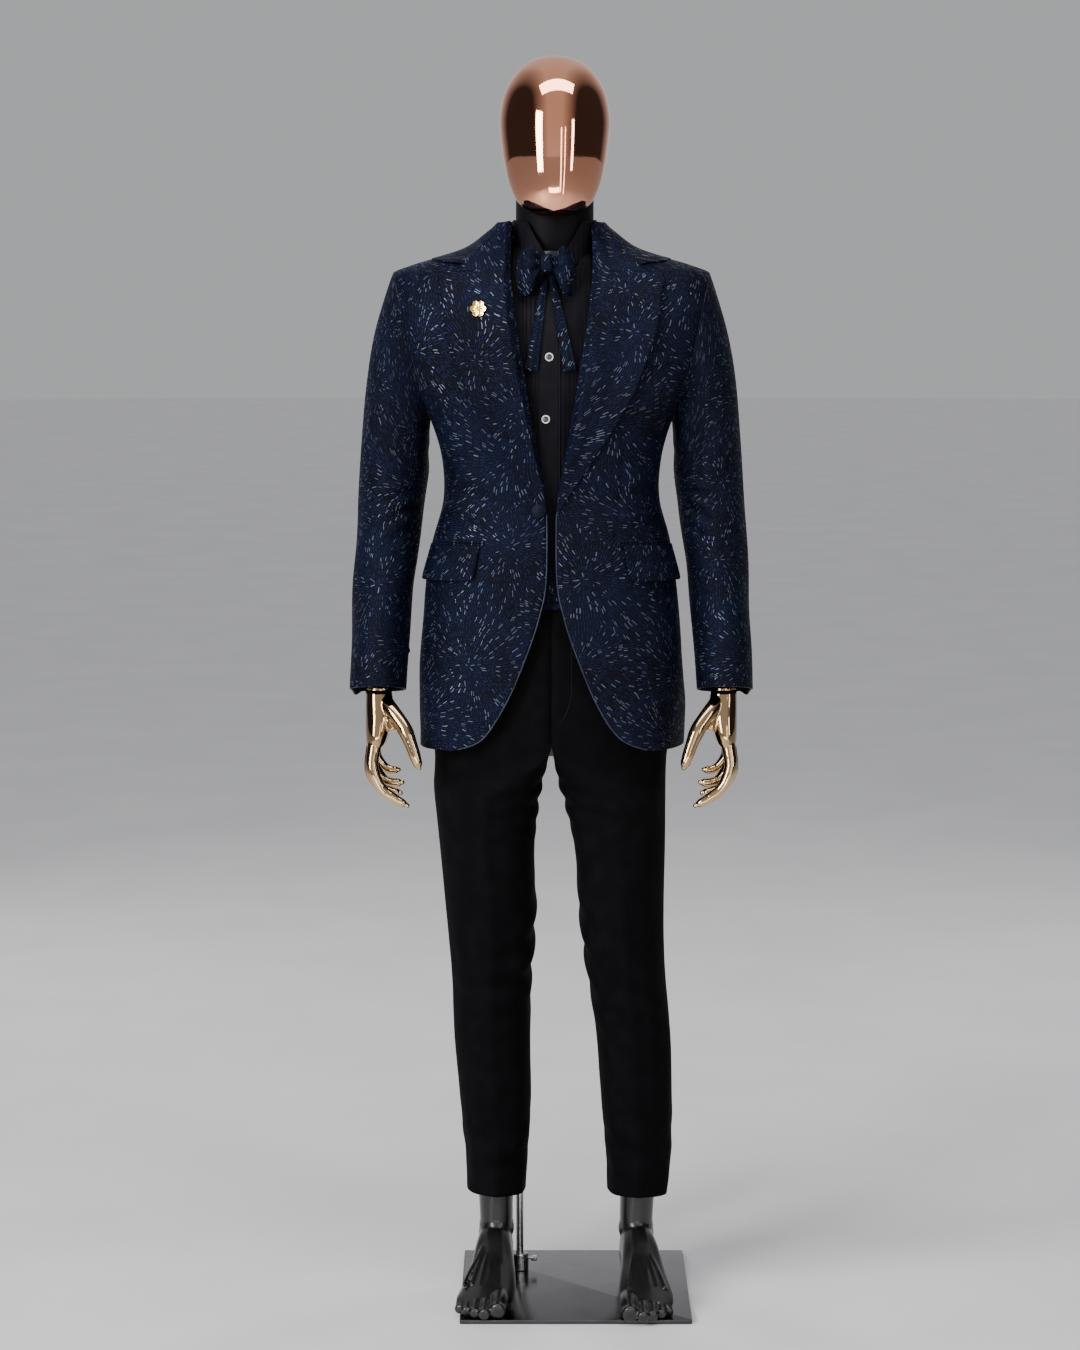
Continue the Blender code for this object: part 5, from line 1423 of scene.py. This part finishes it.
def buildStudio():
    lens = bpy.data.cameras.new("camera")
    lens.lens = studio["lens"]
    lens.sensor_fit = "AUTO"
    lens.sensor_width = 36.0
    lens.clip_end = 200.0
    eye = bpy.data.objects.new("camera", lens)
    eye.location = studio["eye"]
    eye.rotation_euler = (math.pi / 2 - studio["down"], 0, 0)
    bpy.context.scene.collection.objects.link(eye)
    bpy.context.scene.camera = eye
    ground = bmesh.new()
    bmesh.ops.create_circle(ground, cap_ends=True, segments=96, radius=studio["floor"])
    bmesh.ops.translate(ground, vec=(0, 0, -0.0005), verts=ground.verts)
    mesh = bpy.data.meshes.new("studioFloor")
    ground.to_mesh(mesh)
    ground.free()
    floor = bpy.data.objects.new("studioFloor", mesh)
    bpy.context.scene.collection.objects.link(floor)
    paint = Paint("paleFloor")
    paint.put("Base Color", paint.mix(paint.noise(paint.place(), 3.0).fade(0.3, 0.7), (0.60, 0.60, 0.61),
                                      (0.64, 0.64, 0.645)))
    paint.put("Roughness", 0.45)
    mesh.materials.append(paint.material)
    world = bpy.data.worlds.new("studio")
    world.use_nodes = True
    bpy.context.scene.world = world
    # pale to the eye; what it throws on the figure is dimmer, and its mirror image has dark sides
    nodes, links = world.node_tree.nodes, world.node_tree.links
    pale, dim = nodes["Background"], nodes.new("ShaderNodeBackground")
    pale.inputs["Color"].default_value = (0.425, 0.43, 0.44, 1)
    way, split = nodes.new("ShaderNodeTexCoord"), nodes.new("ShaderNodeSeparateXYZ")
    bands, ramp = nodes.new("ShaderNodeMath"), nodes.new("ShaderNodeValToRGB")
    bands.operation = "ABSOLUTE"
    links.new(way.outputs["Generated"], split.inputs[0])
    links.new(split.outputs["X"], bands.inputs[0])
    links.new(bands.outputs[0], ramp.inputs[0])
    ramp.color_ramp.elements[0].position, ramp.color_ramp.elements[1].position = 0.30, 0.78
    ramp.color_ramp.elements[0].color = (0.62, 0.62, 0.64, 1)
    ramp.color_ramp.elements[1].color = (0.035, 0.033, 0.036, 1)
    seen, choice, tint = (nodes.new("ShaderNodeLightPath"), nodes.new("ShaderNodeMixShader"),
                          nodes.new("ShaderNodeMix"))
    tint.data_type = "RGBA"
    links.new(seen.outputs["Is Glossy Ray"], tint.inputs[0])
    tint.inputs[6].default_value = (0.125, 0.13, 0.145, 1)
    links.new(ramp.outputs[0], tint.inputs[7])
    links.new(tint.outputs[2], dim.inputs["Color"])
    links.new(seen.outputs["Is Camera Ray"], choice.inputs[0])
    links.new(dim.outputs[0], choice.inputs[1])
    links.new(pale.outputs[0], choice.inputs[2])
    links.new(choice.outputs[0], nodes["World Output"].inputs["Surface"])
    day = bpy.data.lights.new("softDay", "SUN")
    day.energy = 2.4
    day.angle = math.radians(22)
    holder = bpy.data.objects.new("softDay", day)
    holder.rotation_euler = Vector((0.85, 0.40, -0.55)).to_track_quat("-Z", "Y").to_euler()
    holder.visible_glossy = False
    bpy.context.scene.collection.objects.link(holder)
    lights = [
        # place, aimed at, width, height, power, colour
        ((-2.4, -2.8, 2.1), (0.0, 0.0, 1.15), 1.0, 2.4, 150, (1.0, 0.99, 0.97)),
        ((2.6, -2.6, 1.9), (0.0, 0.0, 1.1), 0.35, 1.8, 22, (0.95, 0.97, 1.0)),
        ((-0.9, -3.4, 2.4), (0.0, 0.0, 1.4), 0.25, 1.6, 22, (1.0, 1.0, 1.0)),
        ((0.1, -0.9, 3.4), (0.0, 0.0, 1.2), 2.6, 0.8, 55, (1.0, 1.0, 1.0)),
        ((-2.0, 2.6, 2.1), (0.0, 0.0, 1.2), 0.5, 1.8, 40, (1.0, 1.0, 1.0)),
        ((2.4, 2.4, 2.1), (0.0, 0.0, 1.2), 0.5, 1.8, 40, (1.0, 1.0, 1.0)),
        ((0.95, -3.3, 1.3), (0.0, 0.0, 1.7), 0.16, 2.4, 9, (1.0, 0.93, 0.84)),
        ((1.45, -3.0, 1.2), (0.0, 0.0, 1.7), 0.08, 2.6, 7, (1.0, 0.90, 0.78)),
        ((-0.15, -2.6, 0.5), (0.0, 0.0, 1.7), 1.5, 0.25, 10, (1.0, 0.95, 0.90)),
    ]
    for number, (place, aim, wide, tall, power, colour) in enumerate(lights):
        lamp = bpy.data.lights.new(f"softbox{number}", "AREA")
        lamp.shape = "RECTANGLE"
        lamp.size, lamp.size_y = wide, tall
        lamp.energy = power
        lamp.color = colour
        holder = bpy.data.objects.new(f"softbox{number}", lamp)
        holder.location = place
        holder.visible_glossy = number in (0, 1, 3) or number > 5
        holder.visible_diffuse = number < 6
        holder.visible_camera = False
        holder.rotation_euler = (Vector(aim) - Vector(place)).to_track_quat("-Z", "Y").to_euler()
        bpy.context.scene.collection.objects.link(holder)
    print("stage set")


buildStudio()
buildBase()
buildHead()
buildHands()
buildLegs()
buildTrousers()
buildJacketBody()
buildCollar()
buildSleeves()
buildTrims()
buildShirt()
buildBow()
buildSash()
finishHidden()
